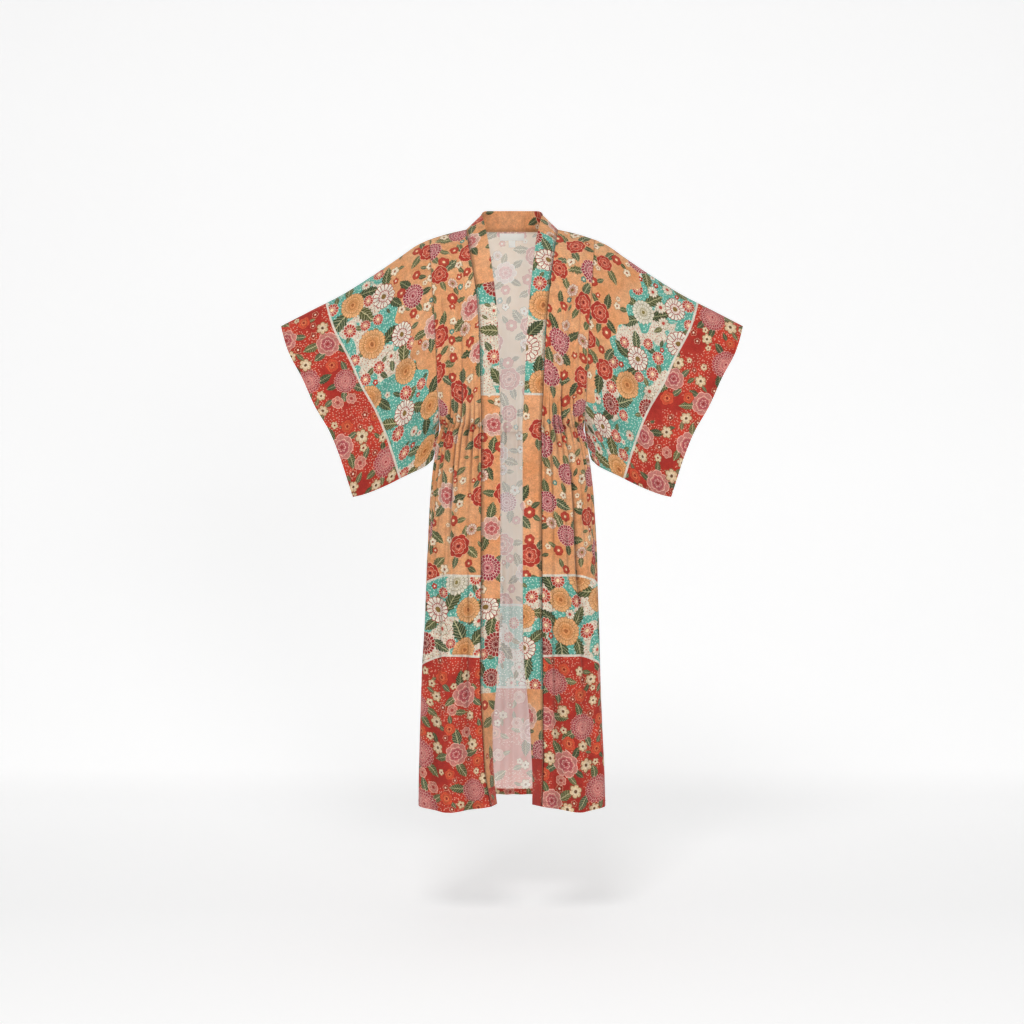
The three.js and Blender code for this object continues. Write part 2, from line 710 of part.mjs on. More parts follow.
// A closed wall: the outer face is the grid, the inner face lies a wall's thickness inside it.
function wallGeometry(grid, wall, closesRound, flip) {
  const rowCount = grid.length;
  const columnCount = grid[0].length;
  const positions = [];
  for (const layer of [0, wall]) {
    for (const row of grid) {
      for (const { point, out } of row) {
        positions.push(...point.clone().addScaledVector(out, -layer).toArray());
      }
    }
  }
  const inner = rowCount * columnCount;
  const id = (i, j) => i * columnCount + (j % columnCount);
  const faces = [];
  const quad = (a, b, c, d) => {
    if (flip) faces.push(a, c, b, a, d, c);
    else faces.push(a, b, c, a, c, d);
  };
  // The rims split along their shorter diagonal, so that the two rims of a seam split alike.
  const lengthOf = (a, b) =>
    Math.hypot(...[0, 1, 2].map((axis) => positions[3 * a + axis] - positions[3 * b + axis]));
  const rim = (a, b, c, d) => {
    if (lengthOf(a, c) <= lengthOf(b, d)) quad(a, b, c, d);
    else quad(b, c, d, a);
  };
  const columnSteps = closesRound ? columnCount : columnCount - 1;
  for (let i = 0; i < rowCount - 1; i += 1) {
    for (let j = 0; j < columnSteps; j += 1) {
      quad(id(i, j), id(i + 1, j), id(i + 1, j + 1), id(i, j + 1));
      quad(
        inner + id(i, j),
        inner + id(i, j + 1),
        inner + id(i + 1, j + 1),
        inner + id(i + 1, j),
      );
    }
  }
  for (let j = 0; j < columnSteps; j += 1) {
    const end = rowCount - 1;
    rim(id(0, j), id(0, j + 1), inner + id(0, j + 1), inner + id(0, j));
    rim(id(end, j + 1), id(end, j), inner + id(end, j), inner + id(end, j + 1));
  }
  if (!closesRound) {
    const end = columnCount - 1;
    for (let i = 0; i < rowCount - 1; i += 1) {
      rim(id(i + 1, 0), id(i, 0), inner + id(i, 0), inner + id(i + 1, 0));
      rim(id(i, end), id(i + 1, end), inner + id(i + 1, end), inner + id(i, end));
    }
  }
  const geometry = new THREE.BufferGeometry();
  geometry.setAttribute("position", new THREE.Float32BufferAttribute(positions, 3));
  geometry.setIndex(faces);
  geometry.computeVertexNormals();
  return geometry;
}

function piece(name, geometry, material) {
  const mesh = new THREE.Mesh(geometry, material);
  mesh.name = name;
  return mesh;
}

const drops = rowDrops();
const fronts = { [-1]: frontGrid(-1, drops), 1: frontGrid(1, drops) };
const back = backGrid(drops);
const sleeves = {
  [-1]: sleeveGrid(-1, fronts[-1], back, drops),
  1: sleeveGrid(1, fronts[1], back, drops),
};
const band = bandGrid(fronts, back, drops);
const label = labelGrid(back, LABEL_SIZE);
const tab = labelGrid(back, TAB_SIZE);

for (const side of [-1, 1]) {
  for (const edge of ["top", "first", "last"]) drawBack(fronts[side], edge);
  drawBack(sleeves[side], "top");
}
for (const edge of ["top", "first", "last"]) drawBack(back, edge);

const robe = new THREE.Group();
robe.add(
  piece("back", wallGeometry(back, CLOTH_WALL, false, true), MATERIALS.print),
  piece("front_left", wallGeometry(fronts[-1], CLOTH_WALL, false, false), MATERIALS.print),
  piece("front_right", wallGeometry(fronts[1], CLOTH_WALL, false, false), MATERIALS.print),
  piece("sleeve_left", wallGeometry(sleeves[-1], CLOTH_WALL, true, false), MATERIALS.sleeve),
  piece("sleeve_right", wallGeometry(sleeves[1], CLOTH_WALL, true, true), MATERIALS.sleeve),
  piece("neckband", wallGeometry(band, BAND_WALL, false, true), MATERIALS.band),
  piece("label", wallGeometry(label, LABEL_WALL, false, true), MATERIALS.label),
  piece("size_tab", wallGeometry(tab, LABEL_WALL, false, true), MATERIALS.label),
);

export default robe;
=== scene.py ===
"""A long open kimono robe of printed viscose crepe, filled out as if worn.

The cloth is made from the robe's own cut: each panel is a thin shell on the surface that its solid
has in the frame, with finer gathers, seams and hems. Its flat-cloth coordinates carry the print.
"""

import functools
import math

import bpy
import numpy as np
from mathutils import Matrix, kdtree


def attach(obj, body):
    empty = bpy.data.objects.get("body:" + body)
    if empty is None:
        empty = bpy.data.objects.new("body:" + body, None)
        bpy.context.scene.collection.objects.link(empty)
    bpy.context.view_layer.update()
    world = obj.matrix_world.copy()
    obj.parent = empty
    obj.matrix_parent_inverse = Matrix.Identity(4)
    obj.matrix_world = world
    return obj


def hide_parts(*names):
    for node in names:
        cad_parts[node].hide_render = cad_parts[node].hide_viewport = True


bl_info = {
    "name": "Kimono robe",
    "version": (1, 0, 0),
    "blender": (4, 5, 0),
    "location": "View3D > Sidebar > Robe",
    "description": "Makes a long open robe of printed crepe with wide sleeves and a neckband",
    "category": "Object",
}

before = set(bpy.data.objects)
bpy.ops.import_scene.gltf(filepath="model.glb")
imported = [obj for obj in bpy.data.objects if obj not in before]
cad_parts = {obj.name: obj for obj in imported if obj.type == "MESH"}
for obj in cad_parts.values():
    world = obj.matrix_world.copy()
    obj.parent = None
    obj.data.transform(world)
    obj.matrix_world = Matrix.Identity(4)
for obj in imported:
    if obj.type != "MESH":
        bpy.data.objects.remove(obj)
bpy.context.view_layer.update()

MM = 0.001

# The cut, in millimetres. A drop is how far a level lies below the cloth's own top edge.
ROBE_DROP = 1263.0
WAIST_DROP = 440.0
NECK_HALF = 101.0
NECK_DEPTH = 62.0
NECK_RISE = 3.0
BAND_WIDTH = {"front": 40.0, "neck": 44.5}
BAND_TAPER = 150.0
SHOULDER_DROP = 160.0
SEAM_GAP = 0.3
FRONT_COLUMNS = 22
BACK_SHOULDER_COLUMNS = 12
BACK_NECK_COLUMNS = 13

# Drop, half width, depth in front, depth behind, boxiness, where the neck line crosses.
FIGURE = np.array([
    (0, 230, 104, 84, 2.2, 101),
    (60, 232, 112, 92, 2.2, 101),
    (150, 234, 120, 98, 2.2, 101),
    (250, 226, 124, 100, 2.2, 100),
    (340, 204, 119, 99, 2.2, 99),
    (400, 175, 108, 95, 2.2, 98),
    (440, 158, 101, 90, 2.2, 97),
    (480, 165, 108, 96, 2.25, 98),
    (530, 174, 116, 104, 2.3, 100),
    (600, 181, 123, 112, 2.4, 104),
    (720, 186, 129, 119, 2.5, 109),
    (860, 190, 133, 125, 2.6, 113),
    (1000, 195, 137, 131, 2.7, 117),
    (1140, 199, 141, 136, 2.8, 121),
    (1263, 204, 145, 140, 2.8, 125),
], dtype=float)
HALF, POWER, NECK_LINE = 1, 4, 5
DEEP = {"front": 2, "back": 3}

# Drop, distance from the centre.
ARMHOLE = np.array([(0, 181), (110, 174), (240, 166), (350, 162), (440, 158)], dtype=float)

# Drop, seam of the band left and right, and how far the band has turned edge-on there.
FRONT_EDGE = np.array([
    (0, 101, 101, 0, 0),
    (50, 93, 93, 0, 0),
    (150, 77, 80, 0, 0),
    (250, 70, 72, 0, 0),
    (370, 67, 67, 0, 0),
    (440, 66, 64, 2, 2),
    (770, 66, 64, 6, 4),
    (900, 67, 65, 22, 8),
    (1000, 67, 66, 40, 36),
    (1080, 63, 66, 62, 52),
    (1140, 60, 67, 68, 56),
    (1200, 56, 66, 70, 62),
    (1263, 44, 63, 78, 66),
], dtype=float)

# The way the band stands off its seam: drop or roundness, inward, back, up.
BAND_LEAN_FRONT = np.array([
    (0, 0.72, 0.1, 0.69),
    (20, 0.82, -0.2, 0.5),
    (60, 0.94, -0.24, 0.22),
    (130, 0.99, -0.16, 0.05),
    (250, 0.99, -0.12, 0),
    (1263, 0.99, -0.1, 0),
])
BAND_LEAN_NECK = np.array([
    (0, 0, -0.1, 1),
    (0.5, 0.12, -0.1, 0.98),
    (0.68, 0.34, -0.24, 0.88),
    (0.82, 0.56, -0.3, 0.76),
    (0.93, 0.69, -0.14, 0.7),
    (1, 0.72, 0.1, 0.69),
])

# Lines of the front view: distance from the centre, height.
TOP_LINE = np.array([
    (101, 0), (140, -9), (181, -22), (212, -37), (246, -61), (299, -97), (370, -142), (440, -178),
    (508, -213),
], dtype=float)
UNDER_LINE = np.array([
    (174, -508), (190, -522), (233, -543), (282, -567), (325, -584), (350, -590),
], dtype=float)
CUFF_LINE = np.array([
    (508, -213), (488, -274), (458, -330), (430, -392), (398, -448), (374, -510), (350, -590),
], dtype=float)
SLEEVE_TAIL = np.array([(162.5, -458), (168, -484), (174, -508)], dtype=float)
SLEEVE_CLEARANCE = 1.2
SLEEVE_PINCH = 2.3
CUFF_DEPTH = 88.0
SLEEVE_SETTLE = 2.6

GATHER_DEPTH = 3.1
GATHER_REACH_UP = 85.0
GATHER_REACH_DOWN = 140.0
WAIST_NIP = 3.0
WAIST_NIP_REACH = 13.0
STITCHED_REACH = 6.0
HEM_LIFT = {  # place across the panel, height above level
    "front": np.array([(0, 6), (0.25, 8), (0.4, 4), (0.6, -3), (0.8, 4), (1, 13)], dtype=float),
    "back": np.array([(0, 6), (0.2, 1), (0.4, 0), (1, 0)], dtype=float),
}
LIFT_FROM = 900.0

# Long soft folds: place across the panel, half width, depth, first and last drop.
FOLDS = {
    ("front", -1): [
        (0.2, 0.07, -7, 560, 1130), (0.36, 0.16, 15, 600, 1500), (0.6, 0.08, -6, 455, 800),
        (0.8, 0.15, -13, 760, 1500), (0.55, 0.12, -5, 60, 330), (0.28, 0.08, -5, 180, 430),
        (0.8, 0.08, 4, 200, 420),
    ],
    ("front", 1): [
        (0.17, 0.07, -6, 620, 1180), (0.38, 0.17, 14, 640, 1500), (0.56, 0.07, -7, 455, 860),
        (0.83, 0.13, -11, 800, 1500), (0.48, 0.1, -6, 80, 350), (0.3, 0.08, 4, 200, 430),
        (0.74, 0.08, -4, 230, 430),
    ],
    ("back", -1): [
        (0.16, 0.09, -9, 600, 1500), (0.34, 0.12, 11, 520, 1500), (0.55, 0.1, -10, 470, 1500),
        (0.76, 0.1, 9, 560, 1500), (0.95, 0.08, -8, 640, 1500), (0.4, 0.1, -5, 90, 400),
        (0.75, 0.09, -4, 160, 430),
    ],
    ("back", 1): [
        (0.13, 0.09, -8, 640, 1500), (0.3, 0.11, 10, 500, 1500), (0.5, 0.1, -11, 520, 1500),
        (0.71, 0.11, 10, 480, 1500), (0.92, 0.09, -7, 600, 1500), (0.46, 0.1, -5, 110, 380),
        (0.8, 0.08, -4, 200, 430),
    ],
}
FOLD_FADE = 130.0

# How deep a fold must lie for its full painted shade, and how many columns round it it is measured against.
VALLEY_DEPTH = 3.2
VALLEY_REACH = 4

# Narrow creases: place across the panel, half width, depth, first and last drop.
CREASES = {
    "front": [
        (0.11, 0.04, 5.0, 440, 1400), (0.23, 0.045, 6.5, 440, 1400), (0.34, 0.03, 3.5, 440, 1150),
        (0.44, 0.028, 2.6, 446, 960), (0.55, 0.03, 3.2, 440, 1200), (0.69, 0.03, 2.6, 446, 1050),
        (0.86, 0.03, 3.0, 446, 1250), (0.22, 0.035, 3.0, 140, 440), (0.4, 0.03, 2.4, 210, 440),
        (0.62, 0.03, 2.6, 170, 440), (0.8, 0.03, 2.2, 230, 440),
    ],
    "back": [
        (0.08, 0.03, 3.5, 440, 1263), (0.22, 0.03, 3.0, 446, 1150), (0.4, 0.03, 3.5, 440, 1263),
        (0.58, 0.03, 3.0, 446, 1200), (0.72, 0.03, 3.5, 440, 1263), (0.88, 0.03, 3.0, 446, 1150),
        (0.3, 0.03, 3.0, 160, 440), (0.62, 0.03, 3.0, 190, 440), (0.85, 0.03, 2.4, 230, 440),
    ],
}

# Folds of the sleeve: along from and to, down from and to, half width, depth.
SLEEVE_FOLDS = [
    (0, 0.75, 0.42, 0.62, 0.07, -6),
    (0, 0.9, 0.72, 0.85, 0.06, -5),
    (0.15, 1, 0.1, 0.3, 0.09, -4),
]

# Rows of the fine cloth: from drop, to drop, steps.
ROW_BANDS = [(0, 30, 14), (30, 400, 80), (400, 480, 36), (480, 1235, 166), (1235, 1263, 13)]
FRONT_STEPS = 66
BACK_SHOULDER_STEPS = 36
BACK_NECK_STEPS = 39
SEAM_SHARES = [0.0055, 0.0135]  # extra columns 1.2 and 3 mm from a seam
SLEEVE_LENGTH_STEPS = 76
HEM_DEPTH = 13.0

# The print, by length up from the hem: where peach meets teal and where teal meets red.
PRINT_LINES = {"front": (476.0, 296.0, 29.0, 37.0), "back": (431.0, 244.0, 0.0, 0.0)}
WHITE_LINE = 4.8
CUFF_PRINT = (112.0, 261.0, 231.0)  # red to here from the cuff, then teal to here above and below

# Heights between which each side's neckband is peach, and those where it is red.
BAND_PEACH = {-1: [(-1212, -1010), (-807, -370), (-135, 200)], 1: [(-1150, -1001), (-761, -370), (-30, 200)]}
BAND_RED = {-1: [(-1400, -1212)], 1: [(-1400, -1150)]}
BAND_WHITE = -370.0

RED, TEAL, PEACH, ANYWHERE = 0, 1, 2, 3

# Flowers of the print: layer, zone, share of the choices, radius range in mm, petals, rings, notch,
# heart radius, outer, inner, line and heart colours, where inner turns outer, gap between petals.
FLOWERS = [
    ("large", PEACH, 4, 20, 27, 7, 3, 0.45, 0.14, "#b83c2f", "#cf5c47", "#eab795", "#7b2a24", 0.5, 0),
    ("large", PEACH, 2, 24, 30, 8, 3, 0.5, 0.13, "#dcb09f", "#c8706c", "#f0decb", "#b0474a", 0.62, 0),
    ("large", PEACH, 3, 23, 29, 22, 4, 0.5, 0.1, "#a8384a", "#bb5460", "#eccabc", "#8f2f36", 0.5, 0.45),
    ("medium", PEACH, 5, 9, 14, 6, 2, 0.36, 0.24, "#bd4434", "#cf6048", "#93301f", "#ecd6a8", 0.55, 0),
    ("medium", PEACH, 3, 9, 13, 5, 1, 0.34, 0.26, "#eed8bb", "#f0e2cb", "#a98a63", "#a86a45", 0.5, 0.2),
    ("medium", PEACH, 2, 11, 15, 12, 2, 0.4, 0.24, "#e6cdb9", "#d9a893", "#a8604d", "#8d6a34", 0.5, 0.4),
    ("small", PEACH, 3, 5.5, 8, 5, 1, 0.34, 0.3, "#c4523a", "#cb5f45", "#8f3a26", "#ecd9bc", 0.5, 0.2),
    ("small", PEACH, 4, 5.5, 8, 5, 1, 0.34, 0.26, "#efd8b8", "#efdfc6", "#b58c64", "#b5633c", 0.5, 0.25),
    ("small", PEACH, 1, 6, 8, 6, 1, 0.3, 0.3, "#5f8f83", "#7aa698", "#44705f", "#e9dcb8", 0.5, 0.2),
    ("large", TEAL, 3, 25, 31, 16, 2, 0.3, 0.2, "#ede3d2", "#efe2d2", "#a83c30", "#8a6a34", 0.5, 0.5),
    ("large", TEAL, 4, 27, 33, 24, 3, 0.3, 0.14, "#e9b27d", "#e3a268", "#b5743f", "#a8663c", 0.5, 0.38),
    ("large", TEAL, 1, 25, 30, 18, 3, 0.35, 0.16, "#e6ddca", "#d8ccb0", "#a09678", "#8a7a45", 0.4, 0.4),
    ("large", TEAL, 3, 21, 27, 18, 3, 0.45, 0.12, "#a3302d", "#8b2a2a", "#e2bfae", "#6f2020", 0.5, 0.42),
    ("medium", TEAL, 5, 12, 17, 12, 2, 0.4, 0.24, "#c3473a", "#d26a56", "#e9cfb9", "#efd9b0", 0.5, 0.42),
    ("medium", TEAL, 2, 11, 15, 10, 1, 0.35, 0.26, "#e9dfcc", "#e6d3bb", "#a08b69", "#c24c3f", 0.5, 0.36),
    ("small", TEAL, 2, 6, 9, 5, 1, 0.34, 0.26, "#eadfcb", "#e6d9c2", "#b9b39f", "#c24c3f", 0.5, 0),
    ("small", TEAL, 2, 5.5, 8, 5, 1, 0.34, 0.3, "#c9432f", "#c9432f", "#8f2f24", "#f3e9da", 0.5, 0),
    ("medium", RED, 7, 11, 17, 6, 1, 0.34, 0.22, "#dcc19c", "#ead6b6", "#8d6744", "#6f4a30", 0.5, 0.2),
    ("medium", RED, 5, 12, 17, 5, 2, 0.36, 0.2, "#d4573a", "#de7a50", "#932c1e", "#8e2b20", 0.5, 0),
    ("medium", RED, 2, 11, 15, 6, 2, 0.34, 0.2, "#cf8474", "#bd6056", "#ecc6ae", "#a03c38", 0.5, 0.15),
    ("large", RED, 2, 24, 31, 7, 3, 0.5, 0.12, "#cb8278", "#b95a5e", "#ecc9b6", "#9d3c3c", 0.5, 0),
    ("large", RED, 2, 25, 32, 26, 5, 0.8, 0.08, "#b04a50", "#c86e6c", "#e9bfae", "#983538", 0.5, 0.35),
    ("small", RED, 4, 6.5, 9.5, 5, 1, 0.34, 0.26, "#dcc4a0", "#e6d2b0", "#97704a", "#8e2b20", 0.5, 0.2),
    ("small", RED, 3, 6, 9, 5, 1, 0.34, 0.26, "#97301f", "#a9402f", "#d6967a", "#ecd9c0", 0.5, 0),
]
PETAL_COUNT_MOST = 32
RING_COUNT_MOST = 8
LEAVES = [("#4c5535", "#b3ad80"), ("#3c4730", "#98986c"), ("#5a5c38", "#c4bb8e"), ("#46543c", "#bdb98d")]
LAYERS = ("leaves", "large", "medium", "small")
TRIES = {"large": 1200, "medium": 1100, "small": 520}
LAYER_GAPS = {  # least distance between two flowers of a layer
    "large": {PEACH: 24.0, TEAL: 9.0, RED: 30.0},
    "medium": {PEACH: 9.0, TEAL: 3.0, RED: 1.0},
    "small": {PEACH: 2.0, TEAL: 4.0, RED: 2.0},
}
LEAF_REACH = {PEACH: (14, 23), TEAL: (21, 33), RED: (13, 22)}
LEAF_TRIES = {"large": 16, "medium": 4}
STRAY_LEAVES = 200
STRAY = {PEACH: 0.12, TEAL: 0.6, RED: 0.7}  # share of smaller flowers away from the clusters
COLLAR_PLAIN = 75.0  # no large or medium flower this near the collar's middle
FACE_REACH = 3.6  # a face is this far across from its centre, at most


def hex_linear(text):
    """The linear colour of an sRGB hex value."""
    parts = [int(text[i:i + 2], 16) / 255 for i in (1, 3, 5)]
    return tuple(p / 12.92 if p <= 0.04045 else ((p + 0.055) / 1.055) ** 2.4 for p in parts)


# Curves and small measures


def ramp(start, end, value):
    share = np.clip((np.asarray(value, dtype=float) - start) / (end - start), 0, 1)
    return share * share * (3 - 2 * share)


def mix(a, b, share):
    return a + (b - a) * share


def read(table, column, value):
    """One column of a table at values of its first column, on a smooth curve through the rows."""
    keys, values = table[:, 0], table[:, column]
    last = len(keys) - 1
    at = np.clip(value, keys[0], keys[last])
    i = np.clip(np.searchsorted(keys, at, side="left") - 1, 0, last - 1)
    before = np.maximum(np.arange(last + 1) - 1, 0)
    after = np.minimum(np.arange(last + 1) + 1, last)
    slope = (values[after] - values[before]) / (keys[after] - keys[before])
    span = keys[i + 1] - keys[i]
    t = (at - keys[i]) / span
    return (
        values[i] * (1 + 2 * t) * (1 - t) ** 2
        + slope[i] * span * t * (1 - t) ** 2
        + values[i + 1] * t * t * (3 - 2 * t)
        + slope[i + 1] * span * t * t * (t - 1)
    )


def along_line(line, share):
    """Points part of the way along a line of the front view, by its length."""
    steps = np.hypot(*np.diff(line, axis=0).T)
    lengths = np.concatenate([[0], np.cumsum(steps)])
    table = np.column_stack([lengths, line])
    at = np.asarray(share) * lengths[-1]
    return read(table, 1, at), read(table, 2, at)


def lengths_along(points, axis):
    """The length run along one axis of a grid of points, from its first row or column."""
    steps = np.linalg.norm(np.diff(points, axis=axis), axis=-1)
    total = np.cumsum(steps, axis=axis)
    return np.insert(total, 0, 0, axis=axis)


def outward(points, hint):
    """The unit ways out of a grid of points, on the side that the hint names."""
    across = np.gradient(points, axis=1)
    down = np.gradient(points, axis=0)
    out = np.cross(across, down)
    out /= np.maximum(np.linalg.norm(out, axis=-1, keepdims=True), 1e-9)
    return out if np.sum(out * hint) > 0 else -out


# The body's cloth


def side_x(drop):
    return read(ARMHOLE, 1, drop) if drop < WAIST_DROP else read(FIGURE, HALF, drop)


def level_line(face, side, drop, shares):
    """One half of a level, evenly spaced along the cloth from the side to the centre."""
    half, deep = float(read(FIGURE, HALF, drop)), float(read(FIGURE, DEEP[face], drop))
    power = float(read(FIGURE, POWER, drop))

    def spread(from_x, to_x, parts):
        ends = [
            math.atan2(deep * max(0.0, 1 - (x / half) ** power) ** (1 / power), x)
            for x in (from_x, to_x)
        ]
        angle = np.linspace(ends[0], ends[1], 80)
        reach = (
            np.abs(np.cos(angle) / half) ** power + np.abs(np.sin(angle) / deep) ** power
        ) ** (-1 / power)
        x, depth = reach * np.cos(angle), reach * np.sin(angle)
        run = np.concatenate([[0], np.cumsum(np.hypot(np.diff(x), np.diff(depth)))])
        return np.interp(parts * run[-1], run, x), np.interp(parts * run[-1], run, depth)

    side_at = float(side_x(drop))
    if face == "front":
        return spread(side_at, float(read(FRONT_EDGE, 1 if side < 0 else 2, drop)), shares)
    line = float(read(FIGURE, NECK_LINE, drop))
    line_share = BACK_SHOULDER_COLUMNS / (BACK_SHOULDER_COLUMNS + BACK_NECK_COLUMNS)
    is_outer = shares < line_share
    outer = spread(side_at, line, shares[is_outer] / line_share)
    inner = spread(line, 1e-3, (shares[~is_outer] - line_share) / (1 - line_share))
    return np.concatenate([outer[0], inner[0]]), np.concatenate([outer[1], inner[1]])


def top_edge(x):
    across = np.clip(x / NECK_HALF, 0, 1)
    in_neck = x < NECK_HALF
    y = np.where(in_neck, NECK_DEPTH * np.maximum(0, 1 - across ** 2.6) ** (1 / 2.6), 0)
    z = np.where(in_neck, NECK_RISE * (1 - across ** 2), read(TOP_LINE, 1, np.maximum(x, NECK_HALF)))
    return y, z


def folds_at(folds, share, drop):
    out = 0
    for at, half, depth, first, last in folds:
        across = np.minimum(np.abs(share - at) / half, 1)
        run = ramp(first, first + FOLD_FADE, drop) * (1 - ramp(last - FOLD_FADE, last, drop))
        out = out + depth * run * np.cos(math.pi / 2 * across) ** 2
    return out


def gathers_at(share, columns, drop):
    """The stitched gathers: the cut's own waves, pinched to sharp troughs, and wider and finer ones."""
    uneven = 0.75 + 0.35 * np.sin(17 * share + 1) * np.sin(29 * share)
    reach = np.where(drop < WAIST_DROP, GATHER_REACH_UP, GATHER_REACH_DOWN)
    reach = reach * (0.8 + 0.4 * np.sin(23 * share))
    fade = np.exp(-(((drop - WAIST_DROP) / reach) ** 2))
    near = np.exp(-(((drop - WAIST_DROP) / (0.55 * reach)) ** 2))
    ends = ramp(0, 0.07, share) * ramp(1, 0.93, share)
    turns = math.pi * columns * share

    def pinched(phase):
        return mix(np.cos(phase), 2 * np.abs(np.cos(phase / 2)) ** 0.8 - 1.1, 0.75)

    wave = 1.15 * GATHER_DEPTH * pinched(turns) * uneven * fade
    far = np.exp(-(((drop - WAIST_DROP) / (1.5 * reach)) ** 2))
    wide = 2.6 * pinched(turns * 0.41 + 1.3 * np.sin(9 * share) + 0.003 * (drop - WAIST_DROP))
    fine = 0.7 * np.cos(turns * 1.37 + 2.1 * np.sin(13 * share))
    return (wave + wide * far + fine * near) * ends


def creases_at(face, side, share, drop):
    """Narrow creases that fall from the gathers, between the long soft folds."""
    out = 0
    for at, half, depth, first, last in CREASES[face]:
        at = at + 0.012 * side + 0.006 * np.sin(drop / 70 + 9 * at)
        across = np.abs(share - at) / half
        run = ramp(first, first + 40, drop) * (1 - ramp(last - 320, last, drop))
        out = out - depth * run * np.maximum(0, 1 - across) ** 1.3
    return out


def ripples(share, drop, seed):
    """The slight unevenness that soft cloth keeps."""
    rng = np.random.default_rng(seed)
    out = 0
    for _ in range(7):
        across, down = rng.uniform(5, 16), rng.uniform(0.004, 0.018)
        out = out + np.sin(across * share + down * drop * rng.choice([-1, 1]) + rng.uniform(0, 6.3))
    return 0.42 * out * ramp(0, 0.06, share) * ramp(1, 0.94, share) * ramp(30, 160, drop)


def valleys_of(push, reach):
    """How deep a fold lies below the cloth round it, from -1 on a crest to 1 at the bottom of a deep fold; this is
    the share of painted shade there.
    """
    weights = np.hanning(2 * reach + 3)[1:-1]
    weights /= weights.sum()
    padded = np.pad(push, ((0, 0), (reach, reach)), mode="edge")
    around = np.stack([np.convolve(row, weights, mode="valid") for row in padded])
    return np.clip((around - push) / VALLEY_DEPTH, -1, 1)


def half_panel(face, side, drops, shares):
    """The outer face of half the body's cloth, and the painted shade of its folds: rows go down,
    columns from the side to the centre."""
    columns = FRONT_COLUMNS if face == "front" else BACK_SHOULDER_COLUMNS + BACK_NECK_COLUMNS
    levels = np.array([level_line(face, side, drop, shares) for drop in drops])
    x, depth = levels[:, 0], levels[:, 1]
    drop, share = drops[:, None], shares[None, :]
    half, deep, power = (read(FIGURE, c, drop) for c in (HALF, DEEP[face], POWER))
    nip = -WAIST_NIP * np.exp(-(((drop - WAIST_DROP) / WAIST_NIP_REACH) ** 2))
    stitched = np.exp(-(((drop - WAIST_DROP) / STITCHED_REACH) ** 2))
    nip = nip - 1.6 * stitched
    crease = (
        folds_at(FOLDS[face, side], share, drop)
        + gathers_at(share, columns, drop)
        + nip * ramp(0, 0.05, share)
        + creases_at(face, side, share, drop)
        + ripples(share, drop, 11 + side + (5 if face == "back" else 0))
    )
    nx = (x / half) ** (power - 1) / half
    ny = (depth / deep) ** (power - 1) / deep
    size = np.hypot(nx, ny)
    push = crease * ramp(0, 60, drop)
    top_y, top_z = top_edge(x if face == "back" else np.maximum(x, NECK_HALF))
    lift = read(HEM_LIFT[face], 1, share) * ramp(LIFT_FROM, ROBE_DROP, drop)
    settle = np.sin(math.pi / 2 * np.clip(drop / SHOULDER_DROP, 0, 1) ** 0.7)
    out_y = mix(top_y, depth, settle) + push * ny / size
    facing = -1 if face == "front" else 1
    z = -drop + top_z * (1 - ramp(0, 200, drop)) + lift
    grid = np.stack([side * (x + push * nx / size), facing * out_y, z], axis=-1)
    # Painted shade: the folds, the stitched waist line and, darkest, the gathers where they bunch
    # at the foot of the armhole are darkened in colour.
    armhole_painted_shade = (1 - ramp(0, 0.1, share)) * np.exp(-(((drop - WAIST_DROP - 4) / 17) ** 2))
    painted_shade = valleys_of(push + 0 * x, VALLEY_REACH) + 0.4 * stitched + 0.8 * armhole_painted_shade
    return grid, np.minimum(1, painted_shade)


@functools.lru_cache(maxsize=None)
def cloth_grids():
    """Every panel's outer face, from the same rows, so that the seams meet."""
    drops = np.concatenate(
        [np.linspace(a, b, n + 1)[:-1] for a, b, n in ROW_BANDS] + [[ROBE_DROP]]
    )
    ends = SEAM_SHARES + [1 - share for share in SEAM_SHARES]
    front_shares = np.unique(np.concatenate([np.linspace(0, 1, FRONT_STEPS + 1), ends]))
    line_share = BACK_SHOULDER_COLUMNS / (BACK_SHOULDER_COLUMNS + BACK_NECK_COLUMNS)
    # The neckline turns sharply at the side of the neck, so the columns are close there.
    by_neck = [line_share + (1 - line_share) * part for part in (0.003, 0.009)]
    back_shares = np.unique(np.concatenate([
        np.linspace(0, line_share, BACK_SHOULDER_STEPS + 1),
        np.linspace(line_share, 1, BACK_NECK_STEPS + 1),
        SEAM_SHARES,
        by_neck,
    ]))
    fronts = {side: half_panel("front", side, drops, front_shares) for side in (-1, 1)}
    halves = {side: half_panel("back", side, drops, back_shares) for side in (-1, 1)}
    back, back_painted_shade = (
        np.concatenate([halves[-1][k], halves[1][k][:, :-1][:, ::-1]], axis=1) for k in (0, 1)
    )
    return {
        "drops": drops,
        "front_shares": front_shares,
        "back_shares": back_shares,
        "fronts": {side: fronts[side][0] for side in fronts},
        "front_painted_shade": {side: fronts[side][1] for side in fronts},
        "back": back,
        "back_painted_shade": back_painted_shade,
    }


def print_places(face, share, up):
    """How far a place lies inside the peach, above the red, and from a white line."""
    upper, lower, upper_rise, lower_rise = PRINT_LINES[face]
    rise = ramp(0.15, 0.6, share)
    to_upper = up - upper - upper_rise * rise
    to_lower = up - lower - lower_rise * rise
    line = np.where(np.abs(to_upper) < np.abs(to_lower), to_upper, to_lower)
    return np.stack([to_upper, to_lower, line], axis=-1)


# The print's motifs


